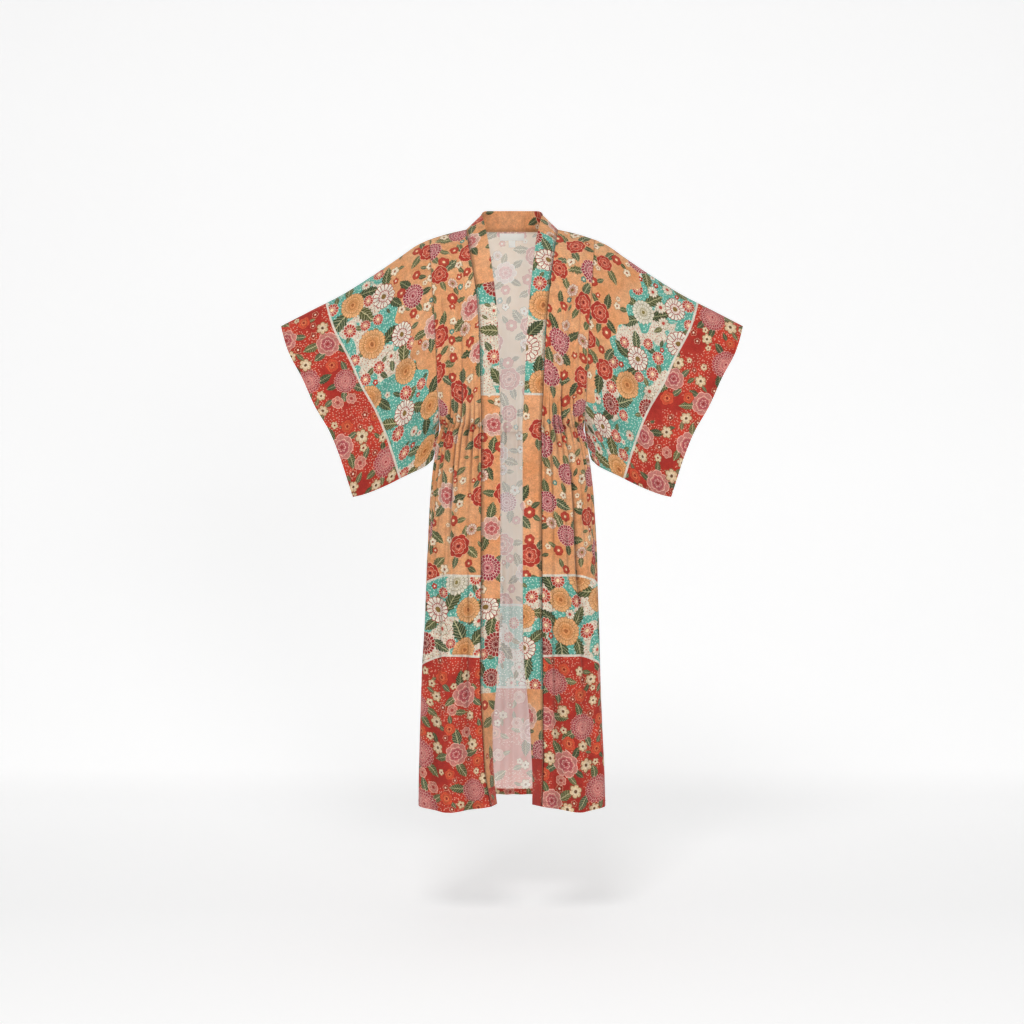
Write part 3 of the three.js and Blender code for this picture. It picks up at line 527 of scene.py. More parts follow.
def scatter_motifs(u, v, places, seed, spare=(), plenty=1.0, plain=0.0):
    """Strews flowers and leaves over the flat cloth, and gives each face its own motif's frame."""
    rng = np.random.default_rng(seed)
    corner_u, corner_v = (
        np.stack([a[:-1, :-1], a[1:, :-1], a[1:, 1:], a[:-1, 1:]], axis=-1).reshape(-1, 4)
        for a in (u, v)
    )
    centre_u, centre_v = corner_u.mean(axis=1), corner_v.mean(axis=1)
    zone_grid = 1 + (places[..., 0] > 0).astype(int) - (places[..., 1] < 0).astype(int)
    zone = zone_grid[:-1, :-1].reshape(-1)
    to_peach = places[:-1, :-1, 0].reshape(-1)
    faces = len(zone)
    tree = kdtree.KDTree(faces)
    for i in range(faces):
        tree.insert((centre_u[i], centre_v[i], 0), i)
    tree.balance()
    local = {name: np.full((faces, 4, 3), 9.0) for name in LAYERS}
    kinds = {name: np.full(faces, 0.5 / len(FLOWERS)) for name in LAYERS}
    taken = {name: np.zeros(faces, dtype=bool) for name in LAYERS}
    placed = {name: [] for name in LAYERS}

    def lay(layer, mu, mv, radius, turn, kind, kind_count, zone_at, narrow):
        du, dv = centre_u - mu, centre_v - mv
        near = np.flatnonzero(du * du + dv * dv < (radius + FACE_REACH) ** 2)
        along = du[near] * math.cos(turn) + dv[near] * math.sin(turn)
        across = dv[near] * math.cos(turn) - du[near] * math.sin(turn)
        near = near[(np.abs(across) < narrow * radius + FACE_REACH) & (np.abs(along) < radius + FACE_REACH)]
        if len(near) == 0 or taken[layer][near].any():
            return False
        cu, cv = corner_u[near] - mu, corner_v[near] - mv
        local[layer][near, :, 0] = (cu * math.cos(turn) + cv * math.sin(turn)) / radius
        local[layer][near, :, 1] = (cv * math.cos(turn) - cu * math.sin(turn)) / radius
        local[layer][near, :, 2] = zone_at
        kinds[layer][near] = (kind + 0.5) / kind_count
        taken[layer][near] = True
        placed[layer].append((mu, mv, radius, zone_at))
        return True

    def lay_leaves(layer):
        for mu, mv, radius, zone_at in placed[layer]:
            reach = LEAF_REACH.get(zone_at, LEAF_REACH[TEAL]) if layer == "large" else (9, 15)
            for _ in range(LEAF_TRIES[layer]):
                draws = rng.random(4)
                size = mix(*reach, draws[0])
                turn = draws[1] * 6.283
                away = radius * 0.82 + size * 0.7
                lay(
                    "leaves", mu + away * math.cos(turn), mv + away * math.sin(turn), size,
                    turn + 0.9 * (draws[2] - 0.5), int(draws[3] * len(LEAVES)), len(LEAVES), zone_at, 0.45,
                )

    for layer in ("large", "medium", "small"):
        larger = LAYERS[1:LAYERS.index(layer)]
        for _ in range(int(TRIES[layer] * plenty)):
            face = rng.integers(faces)
            draws = rng.random(5)
            blooms = placed["large"] + (placed["medium"] if layer == "small" else [])
            mu, mv = centre_u[face], centre_v[face]
            if layer != "large" and blooms and draws[3] > STRAY[int(zone[face])]:
                # The smaller flowers keep to clusters round the larger ones.
                a, b, r, _ = blooms[int(draws[4] * len(blooms))]
                away = r * (1.0 + 1.1 * draws[2])
                turn = 57.2 * draws[1]
                face = tree.find((a + away * math.cos(turn), b + away * math.sin(turn), 0))[1]
                mu, mv = centre_u[face], centre_v[face]
            choices = [
                i for i, flower in enumerate(FLOWERS) if flower[:2] == (layer, zone[face])
                for _ in range(flower[2])
            ]
            if not choices or (layer == "small" and zone[face] == TEAL and draws[2] > 0.45):
                continue
            if taken["leaves"][face]:
                continue
            if layer != "small" and abs(mv - v.max() / 2) < plain:
                continue
            kind = choices[int(draws[0] * len(choices))]
            radius = mix(FLOWERS[kind][3], FLOWERS[kind][4], draws[1])
            gap = LAYER_GAPS[layer][int(zone[face])]
            clear = all(
                math.hypot(mu - a, mv - b) > radius + r + gap for a, b, r, _ in placed[layer]
            ) and all(
                math.hypot(mu - a, mv - b) > 0.88 * (radius + r)
                for name in larger for a, b, r, _ in placed[name]
            )
            if clear:
                is_spare = layer in spare and abs(to_peach[face]) < radius
                at = ANYWHERE if is_spare else int(zone[face])
                lay(layer, mu, mv, radius, draws[2] * 6.283, kind, len(FLOWERS), at, 1)
        if layer in LEAF_TRIES:
            lay_leaves(layer)
    for _ in range(int(STRAY_LEAVES * plenty)):
        face = rng.integers(faces)
        draws = rng.random(3)
        lay(
            "leaves", centre_u[face], centre_v[face], mix(7, 12, draws[0]), draws[1] * 6.283,
            int(draws[2] * len(LEAVES)), len(LEAVES), int(zone[face]), 0.5,
        )
    return local, kinds


# Meshes


def quads_of(rows, columns, first=0):
    ids = first + np.arange(rows * columns).reshape(rows, columns)
    return np.stack([ids[:-1, :-1], ids[1:, :-1], ids[1:, 1:], ids[:-1, 1:]], axis=-1).reshape(-1, 4)


def rim_quads(rows, columns, inner):
    """The faces that close a shell between its outer and inner grids, round all four edges."""
    ids = np.arange(rows * columns).reshape(rows, columns)
    ring = np.concatenate([ids[:-1, 0], ids[-1, :-1], ids[:0:-1, -1], ids[0, :0:-1]])
    following = np.roll(ring, -1)
    return np.stack([following, ring, ring + inner, following + inner], axis=-1)


def new_object(name, vertices, quads, materials, material_ids=None, sharp=math.radians(50)):
    mesh = bpy.data.meshes.new(name)
    mesh.from_pydata((np.asarray(vertices) * MM).tolist(), [], np.asarray(quads).tolist())
    mesh.update()
    mesh.shade_smooth()
    mesh.set_sharp_from_angle(angle=sharp)
    for material in materials:
        mesh.materials.append(material)
    if material_ids is not None:
        mesh.polygons.foreach_set("material_index", np.asarray(material_ids, dtype=np.int32))
    made = bpy.data.objects.new(name, mesh)
    bpy.context.scene.collection.objects.link(made)
    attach(made, "root")
    return made


def set_vectors(mesh, name, domain, values):
    layer = mesh.attributes.new(name, "FLOAT_VECTOR", domain)
    layer.data.foreach_set("vector", np.asarray(values, dtype=np.float32).ravel())


def set_floats(mesh, name, domain, values):
    layer = mesh.attributes.new(name, "FLOAT", domain)
    layer.data.foreach_set("value", np.asarray(values, dtype=np.float32).ravel())


def add_print(mesh, u, v, seed, places, motifs, blocks, painted_shade):
    """Stores the flat-cloth places and the motifs. A block says whether its faces are turned."""
    local, kinds = motifs
    points = u.size
    copies = len(mesh.vertices) // points
    cloth = np.stack([u.ravel() * MM, v.ravel() * MM, np.full(points, seed * 0.37)], axis=-1)
    set_vectors(mesh, "cloth", "POINT", np.tile(cloth, (copies, 1)))
    set_vectors(mesh, "places", "POINT", np.tile(places.reshape(-1, 3) * MM, (copies, 1)))
    # Painted shade of folds and seams on the outer face; the inner copy takes the opposite sign, so its shade falls
    # where the cloth folds in from inside.
    set_floats(mesh, "painted_fold_shade", "POINT", np.concatenate([painted_shade.ravel(), -painted_shade.ravel()])[:points * copies])
    spare = len(mesh.polygons) - sum(len(next(iter(local.values()))) for _ in blocks)
    for name in LAYERS:
        corners = [local[name][:, ::-1] if turned else local[name] for turned in blocks]
        corners.append(np.full((spare, 4, 3), 9.0))
        set_vectors(mesh, name, "CORNER", np.concatenate(corners))
        shares = [kinds[name]] * len(blocks) + [np.full(spare, 0.5 / len(FLOWERS))]
        set_floats(mesh, name + "_kind", "FACE", np.concatenate(shares))


def cloth_shell(name, grid, out, u, v, places, painted_shade, seed, inner_depth, turned_back, spare=()):
    """A panel of cloth: its outer face, its inner face and its rims, printed through."""
    rows, columns = grid.shape[:2]
    outer = grid - 0.3 * out
    inner = grid - inner_depth[..., None] * out
    vertices = np.concatenate([outer.reshape(-1, 3), inner.reshape(-1, 3)])
    middle = (rows // 2, columns // 2)
    down = grid[middle[0] + 1, middle[1]] - grid[middle]
    across = grid[middle[0], middle[1] + 1] - grid[middle]
    turned = float(np.dot(np.cross(down, across), out[middle])) < 0
    outer_quads, inner_quads = quads_of(rows, columns), quads_of(rows, columns, rows * columns)
    rims = rim_quads(rows, columns, rows * columns)
    if turned:
        outer_quads, rims = outer_quads[:, ::-1], rims[:, ::-1]
    else:
        inner_quads = inner_quads[:, ::-1]
    quads = np.concatenate([outer_quads, inner_quads, rims])
    hem_faces = turned_back[:-1, :-1].reshape(-1)
    ids = np.concatenate([
        np.zeros(len(outer_quads)), np.where(hem_faces, 0, 1), np.zeros(len(rims)),
    ])
    made = new_object(name, vertices, quads, [printed_crepe(), crepe_reverse()], ids)
    motifs = scatter_motifs(u, v, places, seed, spare)
    add_print(made.data, u, v, seed, places, motifs, [turned, not turned], painted_shade)
    return made


def seam_dip(distance_columns, rows, columns, sides):
    """How far the cloth dips at the sewn edges: deepest on the seam, none 3 mm away."""
    dip = np.zeros((rows, columns))
    for side in sides:
        for k, depth in enumerate(distance_columns):
            index = {"first": (slice(None), k), "last": (slice(None), columns - 1 - k),
                     "top": (k, slice(None)), "bottom": (rows - 1 - k, slice(None))}[side]
            dip[index] = np.maximum(dip[index], depth)
    return dip


SEAM_DIP = (1.0, 0.4)
BAND_SEAM_DIP = (2.2, 0.9)


# Materials


def add(tree, kind, *inputs, stops=None, **settings):
    """Adds a node. Inputs fill its shown sockets in order, each from a number, colour, node or socket."""
    kind, _, operation = kind.partition(":")
    made = tree.nodes.new("ShaderNode" + kind)
    if operation:
        made.operation = operation
    for name, value in settings.items():
        setattr(made, name, value)
    if stops:
        ramp_stops = made.color_ramp
        ramp_stops.interpolation = "CONSTANT"
        while len(ramp_stops.elements) < len(stops):
            ramp_stops.elements.new(1.0)
        for i, colour in enumerate(stops):
            ramp_stops.elements[i].position = i / len(stops)
            ramp_stops.elements[i].color = colour
    shown = [socket for socket in made.inputs if socket.enabled]
    for socket, value in zip(shown, inputs):
        if isinstance(value, bpy.types.Node):
            value = [output for output in value.outputs if output.enabled][0]
        if isinstance(value, bpy.types.NodeSocket):
            tree.links.new(value, socket)
        elif value is not None:
            socket.default_value = value
    return made


def colour_of(text):
    return (*hex_linear(text), 1.0)


def new_group(name, inputs, outputs):
    tree = bpy.data.node_groups.new(name, "ShaderNodeTree")
    for label, kind in inputs:
        tree.interface.new_socket(name=label, in_out="INPUT", socket_type="NodeSocket" + kind)
    for label, kind in outputs:
        tree.interface.new_socket(name=label, in_out="OUTPUT", socket_type="NodeSocket" + kind)
    return tree, tree.nodes.new("NodeGroupInput"), tree.nodes.new("NodeGroupOutput")


@functools.lru_cache(maxsize=None)
def bloom_group():
    """One printed flower: rings of petals with a drawn edge, round a heart."""
    tree, start, end = new_group(
        "bloom", [("Place", "Vector"), ("Kind", "Float")], [("Colour", "Color"), ("Cover", "Float")]
    )
    place, kind = start.outputs["Place"], start.outputs["Kind"]
    parts = add(tree, "SeparateXYZ", place)
    flat = add(tree, "CombineXYZ", parts.outputs[0], parts.outputs[1], 0.0)
    radius = add(tree, "VectorMath:LENGTH", flat)
    angle = add(tree, "Math:ARCTAN2", parts.outputs[1], parts.outputs[0])
    shape = add(tree, "ValToRGB", kind, stops=[
        (f[5] / PETAL_COUNT_MOST, f[6] / RING_COUNT_MOST, f[7], f[8]) for f in FLOWERS
    ])
    counts = add(tree, "SeparateColor", shape)
    half_petals = add(tree, "Math:MULTIPLY", counts.outputs[0], PETAL_COUNT_MOST / 2)
    rings = add(tree, "Math:MULTIPLY", counts.outputs[1], float(RING_COUNT_MOST))
    scaled = add(tree, "Math:MULTIPLY", radius, rings)
    ring = add(tree, "Math:FLOOR", scaled)
    shift = add(tree, "Math:MULTIPLY", ring, math.pi / 2)
    turn = add(tree, "Math:MULTIPLY_ADD", angle, half_petals, shift)
    lobe = add(tree, "Math:POWER", add(tree, "Math:ABSOLUTE", add(tree, "Math:COSINE", turn)), 0.6)
    gap = add(tree, "Math:SUBTRACT", 1.0, lobe)
    depth = add(tree, "Math:MULTIPLY_ADD", gap, counts.outputs[2], scaled)
    cover = add(tree, "Math:LESS_THAN", depth, rings)
    within = add(tree, "Math:FRACT", depth)
    # The alpha of the outer colour holds where inner turns outer, that of the line the petals' gap.
    outer, inner, line, heart = (
        add(tree, "ValToRGB", kind, stops=[
            (*hex_linear(f[c]), f[alpha] if alpha else 1.0) for f in FLOWERS
        ])
        for c, alpha in ((9, 13), (10, 0), (11, 14), (12, 0))
    )
    edge = add(tree, "Math:GREATER_THAN", within, 0.87)
    edge = add(tree, "Math:MAXIMUM", edge, add(tree, "Math:LESS_THAN", lobe, line.outputs["Alpha"]))
    is_outer = add(tree, "Math:GREATER_THAN", radius, outer.outputs["Alpha"])
    petal = add(tree, "Mix", is_outer, inner, outer, data_type="RGBA")
    # Fine streaks run out along the petals.
    streak = add(tree, "Math:ABSOLUTE", add(tree, "Math:SINE", add(tree, "Math:MULTIPLY", turn, 3.0)))
    shade = add(tree, "Math:MULTIPLY_ADD", within, 0.22, 0.74)
    shade = add(tree, "Math:MULTIPLY_ADD", streak, 0.14, shade)
    shade = add(tree, "CombineColor", shade, shade, shade)
    petal = add(tree, "Mix", 1.0, petal, shade, data_type="RGBA", blend_type="MULTIPLY")
    petal = add(tree, "Mix", edge, petal, line, data_type="RGBA")
    is_heart = add(tree, "Math:LESS_THAN", radius, shape.outputs["Alpha"])
    petal = add(tree, "Mix", is_heart, petal, heart, data_type="RGBA")
    tree.links.new(petal.outputs[2], end.inputs["Colour"])
    tree.links.new(cover.outputs[0], end.inputs["Cover"])
    return tree


@functools.lru_cache(maxsize=None)
def leaf_group():
    """One printed leaf, pointed at both ends, with its veins."""
    tree, start, end = new_group(
        "leaf", [("Place", "Vector"), ("Kind", "Float")], [("Colour", "Color"), ("Cover", "Float")]
    )
    kind = start.outputs["Kind"]
    parts = add(tree, "SeparateXYZ", start.outputs["Place"])
    x, y = parts.outputs[0], add(tree, "Math:ABSOLUTE", parts.outputs[1])
    width = add(tree, "Math:SUBTRACT", 1.0, add(tree, "Math:MULTIPLY", x, x))
    teeth = add(tree, "Math:MULTIPLY_ADD", add(tree, "Math:SINE", add(tree, "Math:MULTIPLY", x, 22.0)), 0.05, 0.46)
    cover = add(tree, "Math:LESS_THAN", y, add(tree, "Math:MULTIPLY", width, teeth))
    midrib = add(tree, "Math:LESS_THAN", y, 0.035)
    slant = add(tree, "Math:SUBTRACT", x, add(tree, "Math:MULTIPLY", y, 0.9))
    veins = add(tree, "Math:LESS_THAN", add(tree, "Math:FRACT", add(tree, "Math:MULTIPLY", slant, 4.0)), 0.14)
    is_vein = add(tree, "Math:MAXIMUM", midrib, veins)
    blade, vein = (
        add(tree, "ValToRGB", kind, stops=[colour_of(leaf[c]) for leaf in LEAVES]) for c in (0, 1)
    )
    colour = add(tree, "Mix", is_vein, blade, vein, data_type="RGBA")
    tree.links.new(colour.outputs[2], end.inputs["Colour"])
    tree.links.new(cover.outputs[0], end.inputs["Cover"])
    return tree


@functools.lru_cache(maxsize=None)
def print_group():
    """The printed cloth: three grounds, leaves and flowers over them, and white lines between."""
    colours = bpy.context.scene.robe_colours
    tree, _, end = new_group("printed pattern", [], [("Colour", "Color")])
    cloth = add(tree, "Attribute", attribute_name="cloth").outputs["Vector"]
    places = add(tree, "Attribute", attribute_name="places").outputs["Vector"]
    reach = add(tree, "SeparateXYZ", places)
    in_peach = add(tree, "Math:GREATER_THAN", reach.outputs[0], 0.0)
    in_red = add(tree, "Math:LESS_THAN", reach.outputs[1], 0.0)
    zone = add(tree, "Math:SUBTRACT", add(tree, "Math:ADD", in_peach, 1.0), in_red)
    # Cloud-like patches, about 70 mm across.
    clouds = add(tree, "TexNoise", cloth, 1 / 0.07, 2.0, 0.5).outputs[0]
    soft = add(tree, "MapRange", clouds, 0.35, 0.65, 0.0, 1.0)
    hard = add(tree, "MapRange", clouds, 0.53, 0.545, 0.0, 1.0)
    dots = add(tree, "TexVoronoi", cloth, 1 / 0.006, voronoi_dimensions="2D", feature="F1").outputs[0]
    is_dot = add(tree, "Math:LESS_THAN", dots, 0.2)
    red = add(tree, "Mix", soft, (*colours.red, 1), (*colours.deep_red, 1), data_type="RGBA")
    red_dots = add(tree, "Math:MULTIPLY", is_dot, add(tree, "Math:SUBTRACT", 1.0, hard))
    red = add(tree, "Mix", red_dots, red, colour_of("#dba187"), data_type="RGBA")
    teal = add(tree, "Mix", hard, (*colours.teal, 1), (*colours.cream, 1), data_type="RGBA")
    dots_on_teal = add(tree, "Mix", hard, colour_of("#cfe3d8"), colour_of("#c9836c"), data_type="RGBA")
    teal = add(tree, "Mix", is_dot, teal, dots_on_teal, data_type="RGBA")
    peach = add(tree, "Mix", soft, (*colours.peach, 1), (*colours.deep_peach, 1), data_type="RGBA")
    colour = add(tree, "Mix", in_red, teal, red, data_type="RGBA")
    colour = add(tree, "Mix", in_peach, colour, peach, data_type="RGBA")
    # The unsteadiness of a drawn line, about 14 mm long, as a part of a motif's radius.
    wander = add(tree, "TexNoise", cloth, 1 / 0.014, 2.0, 0.6).outputs["Color"]
    hand = add(tree, "VectorMath:SUBTRACT", wander, (0.5, 0.5, 0.5))
    for name in LAYERS:
        motif = add(tree, "Attribute", attribute_name=name).outputs["Vector"]
        motif = add(tree, "VectorMath:MULTIPLY_ADD", hand, (0.26, 0.26, 0.0), motif).outputs[0]
        kind = add(tree, "Attribute", attribute_name=name + "_kind").outputs["Fac"]
        group = tree.nodes.new("ShaderNodeGroup")
        group.node_tree = leaf_group() if name == "leaves" else bloom_group()
        tree.links.new(motif, group.inputs["Place"])
        tree.links.new(kind, group.inputs["Kind"])
        motif_zone = add(tree, "SeparateXYZ", motif).outputs[2]
        apart = add(tree, "Math:ABSOLUTE", add(tree, "Math:SUBTRACT", motif_zone, zone))
        matches = add(tree, "Math:MAXIMUM", add(tree, "Math:LESS_THAN", apart, 0.5),
                      add(tree, "Math:GREATER_THAN", motif_zone, ANYWHERE - 0.5))
        shown = add(tree, "Math:MULTIPLY", group.outputs["Cover"], matches)
        colour = add(tree, "Mix", shown, colour, group.outputs["Colour"], data_type="RGBA")
    on_line = add(tree, "Math:LESS_THAN", add(tree, "Math:ABSOLUTE", reach.outputs[2]), WHITE_LINE / 2 * MM)
    colour = add(tree, "Mix", on_line, colour, (*colours.white_line, 1), data_type="RGBA")
    tree.links.new(colour.outputs[2], end.inputs["Colour"])
    return tree


def new_material(name, roughness, sheen=0.0, specular=0.35, spread=0.0):
    """A named material. Thin cloth lets daylight through, which spreads in its fibres."""
    material = bpy.data.materials.new(name)
    material.use_nodes = True
    shader = material.node_tree.nodes["Principled BSDF"]
    shader.inputs["Roughness"].default_value = roughness
    shader.inputs["Sheen Weight"].default_value = sheen
    shader.inputs["Sheen Roughness"].default_value = 0.5
    shader.inputs["Specular IOR Level"].default_value = specular
    if spread:
        shader.inputs["Subsurface Weight"].default_value = 1.0
        shader.inputs["Subsurface Radius"].default_value = (1.0, 1.0, 1.0)
        shader.inputs["Subsurface Scale"].default_value = spread
    return material, material.node_tree, shader


def crepe_bump(tree, shader, cloth, strength):
    """The pebbled grain of crepe, 1 mm across in the real cloth, drawn at 2.4 mm so that it shows."""
    grain = add(tree, "TexNoise", cloth, 1 / 0.0024, 2.0, 0.6).outputs[0]
    slack = add(tree, "TexNoise", cloth, 1 / 0.022, 2.0, 0.5).outputs[0]
    height = add(tree, "Math:MULTIPLY_ADD", slack, 1.6, grain)
    bump = add(tree, "Bump", strength, 0.0012)
    tree.links.new(height.outputs[0], bump.inputs["Height"])
    tree.links.new(bump.outputs[0], shader.inputs["Normal"])
    return grain


def add_painted_shade(tree, colour, depth):
    """Paints shade into a colour where the cloth is folded in on itself, and where a seam draws it in."""
    painted_fold_shade = add(tree, "Attribute", attribute_name="painted_fold_shade").outputs["Fac"]
    shade = add(tree, "MapRange", painted_fold_shade, 0.0, 1.0, 1.0, 1 - depth)
    shade = add(tree, "CombineColor", shade, shade, shade)
    return add(tree, "Mix", 1.0, colour, shade, data_type="RGBA", blend_type="MULTIPLY")


@functools.lru_cache(maxsize=None)
def printed_crepe():
    # Viscose crepe, woven and screen printed: matt, with a soft bloom of sheen on its turning edges.
    material, tree, shader = new_material("printed viscose crepe", 0.82, sheen=0.1, specular=0.22, spread=0.001)
    cloth = add(tree, "Attribute", attribute_name="cloth").outputs["Vector"]
    pattern = tree.nodes.new("ShaderNodeGroup")
    pattern.node_tree = print_group()
    grain = crepe_bump(tree, shader, cloth, 0.35)
    # Painted shade of the crepe's pebbles: the colour darkens where the bump's grain sinks.
    uneven = add(tree, "MapRange", grain, 0.32, 0.68, 0.78, 1.1)
    # The dye took unevenly, in blotches about 9 mm across.
    blotches = add(tree, "TexNoise", cloth, 1 / 0.009, 3.0, 0.65).outputs[0]
    uneven = add(tree, "Math:MULTIPLY", uneven, add(tree, "MapRange", blotches, 0.32, 0.68, 0.84, 1.1))
    uneven = add(tree, "CombineColor", uneven, uneven, uneven)
    colour = add(tree, "Mix", 1.0, pattern, uneven, data_type="RGBA", blend_type="MULTIPLY")
    # Painted shade in the folds and along the seams.
    colour = add_painted_shade(tree, colour, 0.62)
    tree.links.new(colour.outputs[2], shader.inputs["Base Color"])
    return material


@functools.lru_cache(maxsize=None)
def crepe_reverse():
    # The same cloth from behind: the dye only half shows through, pale and milky.
    material, tree, shader = new_material(
        "reverse of the printed crepe", 0.88, sheen=0.1, specular=0.2, spread=0.005
    )
    colours = bpy.context.scene.robe_colours
    cloth = add(tree, "Attribute", attribute_name="cloth").outputs["Vector"]
    pattern = tree.nodes.new("ShaderNodeGroup")
    pattern.node_tree = print_group()
    crepe_bump(tree, shader, cloth, 0.3)
    faded = add(tree, "HueSaturation", 0.5, 0.8, 0.95, 1.0, pattern)
    colour = add(tree, "Mix", colours.reverse_share, faded, (*colours.reverse, 1), data_type="RGBA")
    # Painted shade in the folds and along the seams, lighter on the reverse.
    colour = add_painted_shade(tree, colour, 0.4)
    tree.links.new(colour.outputs[2], shader.inputs["Base Color"])
    return material


@functools.lru_cache(maxsize=None)
def label_satin():
    # Woven polyester satin: smooth, with fine cross ribs that catch the light.
    material, tree, shader = new_material("woven label satin", 0.55, sheen=0.15)
    place = add(tree, "TexCoord").outputs["Object"]
    ribs = add(tree, "TexWave", place, 1 / 0.0045, bands_direction="Z").outputs["Fac"]
    # Painted light: the colour is lighter along each rib's crest, the same wave that raises the bump.
    tone = add(tree, "Mix", ribs, colour_of("#eef1e8"), colour_of("#fbfbf6"), data_type="RGBA")
    tree.links.new(tone.outputs[2], shader.inputs["Base Color"])
    bump = add(tree, "Bump", 0.2, 0.0004)
    tree.links.new(ribs, bump.inputs["Height"])
    tree.links.new(bump.outputs[0], shader.inputs["Normal"])
    return material


@functools.lru_cache(maxsize=None)
def sewing_thread(name, colour):
    # Spun polyester sewing thread, twisted: a faint spiral of light and shade.
    material, tree, shader = new_material(name, 0.6, sheen=0.2)
    place = add(tree, "TexCoord").outputs["Object"]
    twist = add(tree, "TexWave", place, 1 / 0.0016, bands_direction="DIAGONAL").outputs["Fac"]
    dark = tuple(0.8 * part for part in colour_of(colour)[:3]) + (1.0,)
    tone = add(tree, "Mix", twist, dark, colour_of(colour), data_type="RGBA")
    tree.links.new(tone.outputs[2], shader.inputs["Base Color"])
    return material


# Stitches


def resample(points, step, phase=0.0):
    """Points at even steps along a polyline of one or more columns of values."""
    run = np.concatenate([[0], np.cumsum(np.linalg.norm(np.diff(points[:, :3], axis=0), axis=1))])
    at = np.arange(phase, run[-1], step)
    return np.stack([np.interp(at, run, points[:, c]) for c in range(points.shape[1])], axis=-1)


def stitch_row(lines, pitch, length, radius):
    """Rows of sewn stitches: each is a short tapered thread that lies on the cloth.
    A line has the cloth's points in its first three columns and the ways out in the next three."""
    sides = 5
    vertices, faces = [], []
    for line in lines:
        middles = resample(line, pitch, pitch / 2)
        tangents = np.gradient(middles[:, :3], axis=0)
        tangents /= np.linalg.norm(tangents, axis=1, keepdims=True)
        for middle, tangent in zip(middles, tangents):
            out = middle[3:6] / np.linalg.norm(middle[3:6])
            across = np.cross(tangent, out)
            base = len(vertices)
            for along, width, rise in ((-0.5, 0.35, 0.0), (-0.32, 1, 0.6), (0.32, 1, 0.6), (0.5, 0.35, 0.0)):
                for k in range(sides):
                    angle = 2 * math.pi * k / sides
                    vertices.append(
                        middle[:3] + tangent * along * length + out * radius * rise
                        + radius * width * (across * math.cos(angle) + out * math.sin(angle))
                    )
            for ring in range(3):
                for k in range(sides):
                    a, b = base + ring * sides + k, base + ring * sides + (k + 1) % sides
                    faces.append((a, b, b + sides, a + sides))
            faces.append(tuple(base + k for k in reversed(range(sides))))
            faces.append(tuple(base + 3 * sides + k for k in range(sides)))
    return vertices, faces


def stitch_object(name, lines, pitch, length, radius, material):
    vertices, faces = stitch_row(lines, pitch, length, radius)
    mesh = bpy.data.meshes.new(name)
    mesh.from_pydata((np.array(vertices) * MM).tolist(), [], faces)
    mesh.update()
    mesh.shade_smooth()
    mesh.materials.append(material)
    made = bpy.data.objects.new(name, mesh)
    bpy.context.scene.collection.objects.link(made)
    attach(made, "root")
    return made


def on_cloth(grid, out, row=None, column=None, above=-0.25):
    """A line of a grid, with its ways out, a little off the cloth's face."""
    index = (slice(None), column) if row is None else (row, slice(None))
    return np.concatenate([grid[index] + above * out[index], out[index]], axis=-1)


# The panels, each as a grid, its ways out and its flat-cloth places


@functools.lru_cache(maxsize=None)
def front_panel(side):
    grids = cloth_grids()
    grid = grids["fronts"][side]
    out = outward(grid, np.array([0.0, -1.0, 0.0]))
    shape = grid.shape[:2]
    dip = np.maximum(
        seam_dip(SEAM_DIP, *shape, ("first", "top")), seam_dip(BAND_SEAM_DIP, *shape, ("last",))
    )
    u = lengths_along(grid[:, ::-1], 1)[:, ::-1] * -side
    v = lengths_along(grid[::-1], 0)[::-1]
    shares = grids["front_shares"][None, :]
    places = print_places("front", shares, v + read(HEM_LIFT["front"], 1, shares))
    # Painted shade in the folds and along the sewn edges, where the cloth dips.
    painted_shade = np.maximum(grids["front_painted_shade"][side], np.minimum(dip, 1))
    return grid - dip[..., None] * out, out, u, v, places, painted_shade


@functools.lru_cache(maxsize=None)
def back_panel():
    grids = cloth_grids()
    grid = grids["back"]
    out = outward(grid, np.array([0.0, 1.0, 0.0]))
    dip = seam_dip(SEAM_DIP, *grid.shape[:2], ("first", "last", "top"))
    u = lengths_along(grid, 1)
    centre = grid.shape[1] // 2
    u = u - u[:, centre:centre + 1]
    v = lengths_along(grid[::-1], 0)[::-1]
    places = print_places("back", np.zeros_like(u), v)
    # Painted shade in the folds and along the sewn edges, where the cloth dips.
    painted_shade = np.maximum(grids["back_painted_shade"], np.minimum(dip, 1))
    return grid - dip[..., None] * out, out, u, v, places, painted_shade


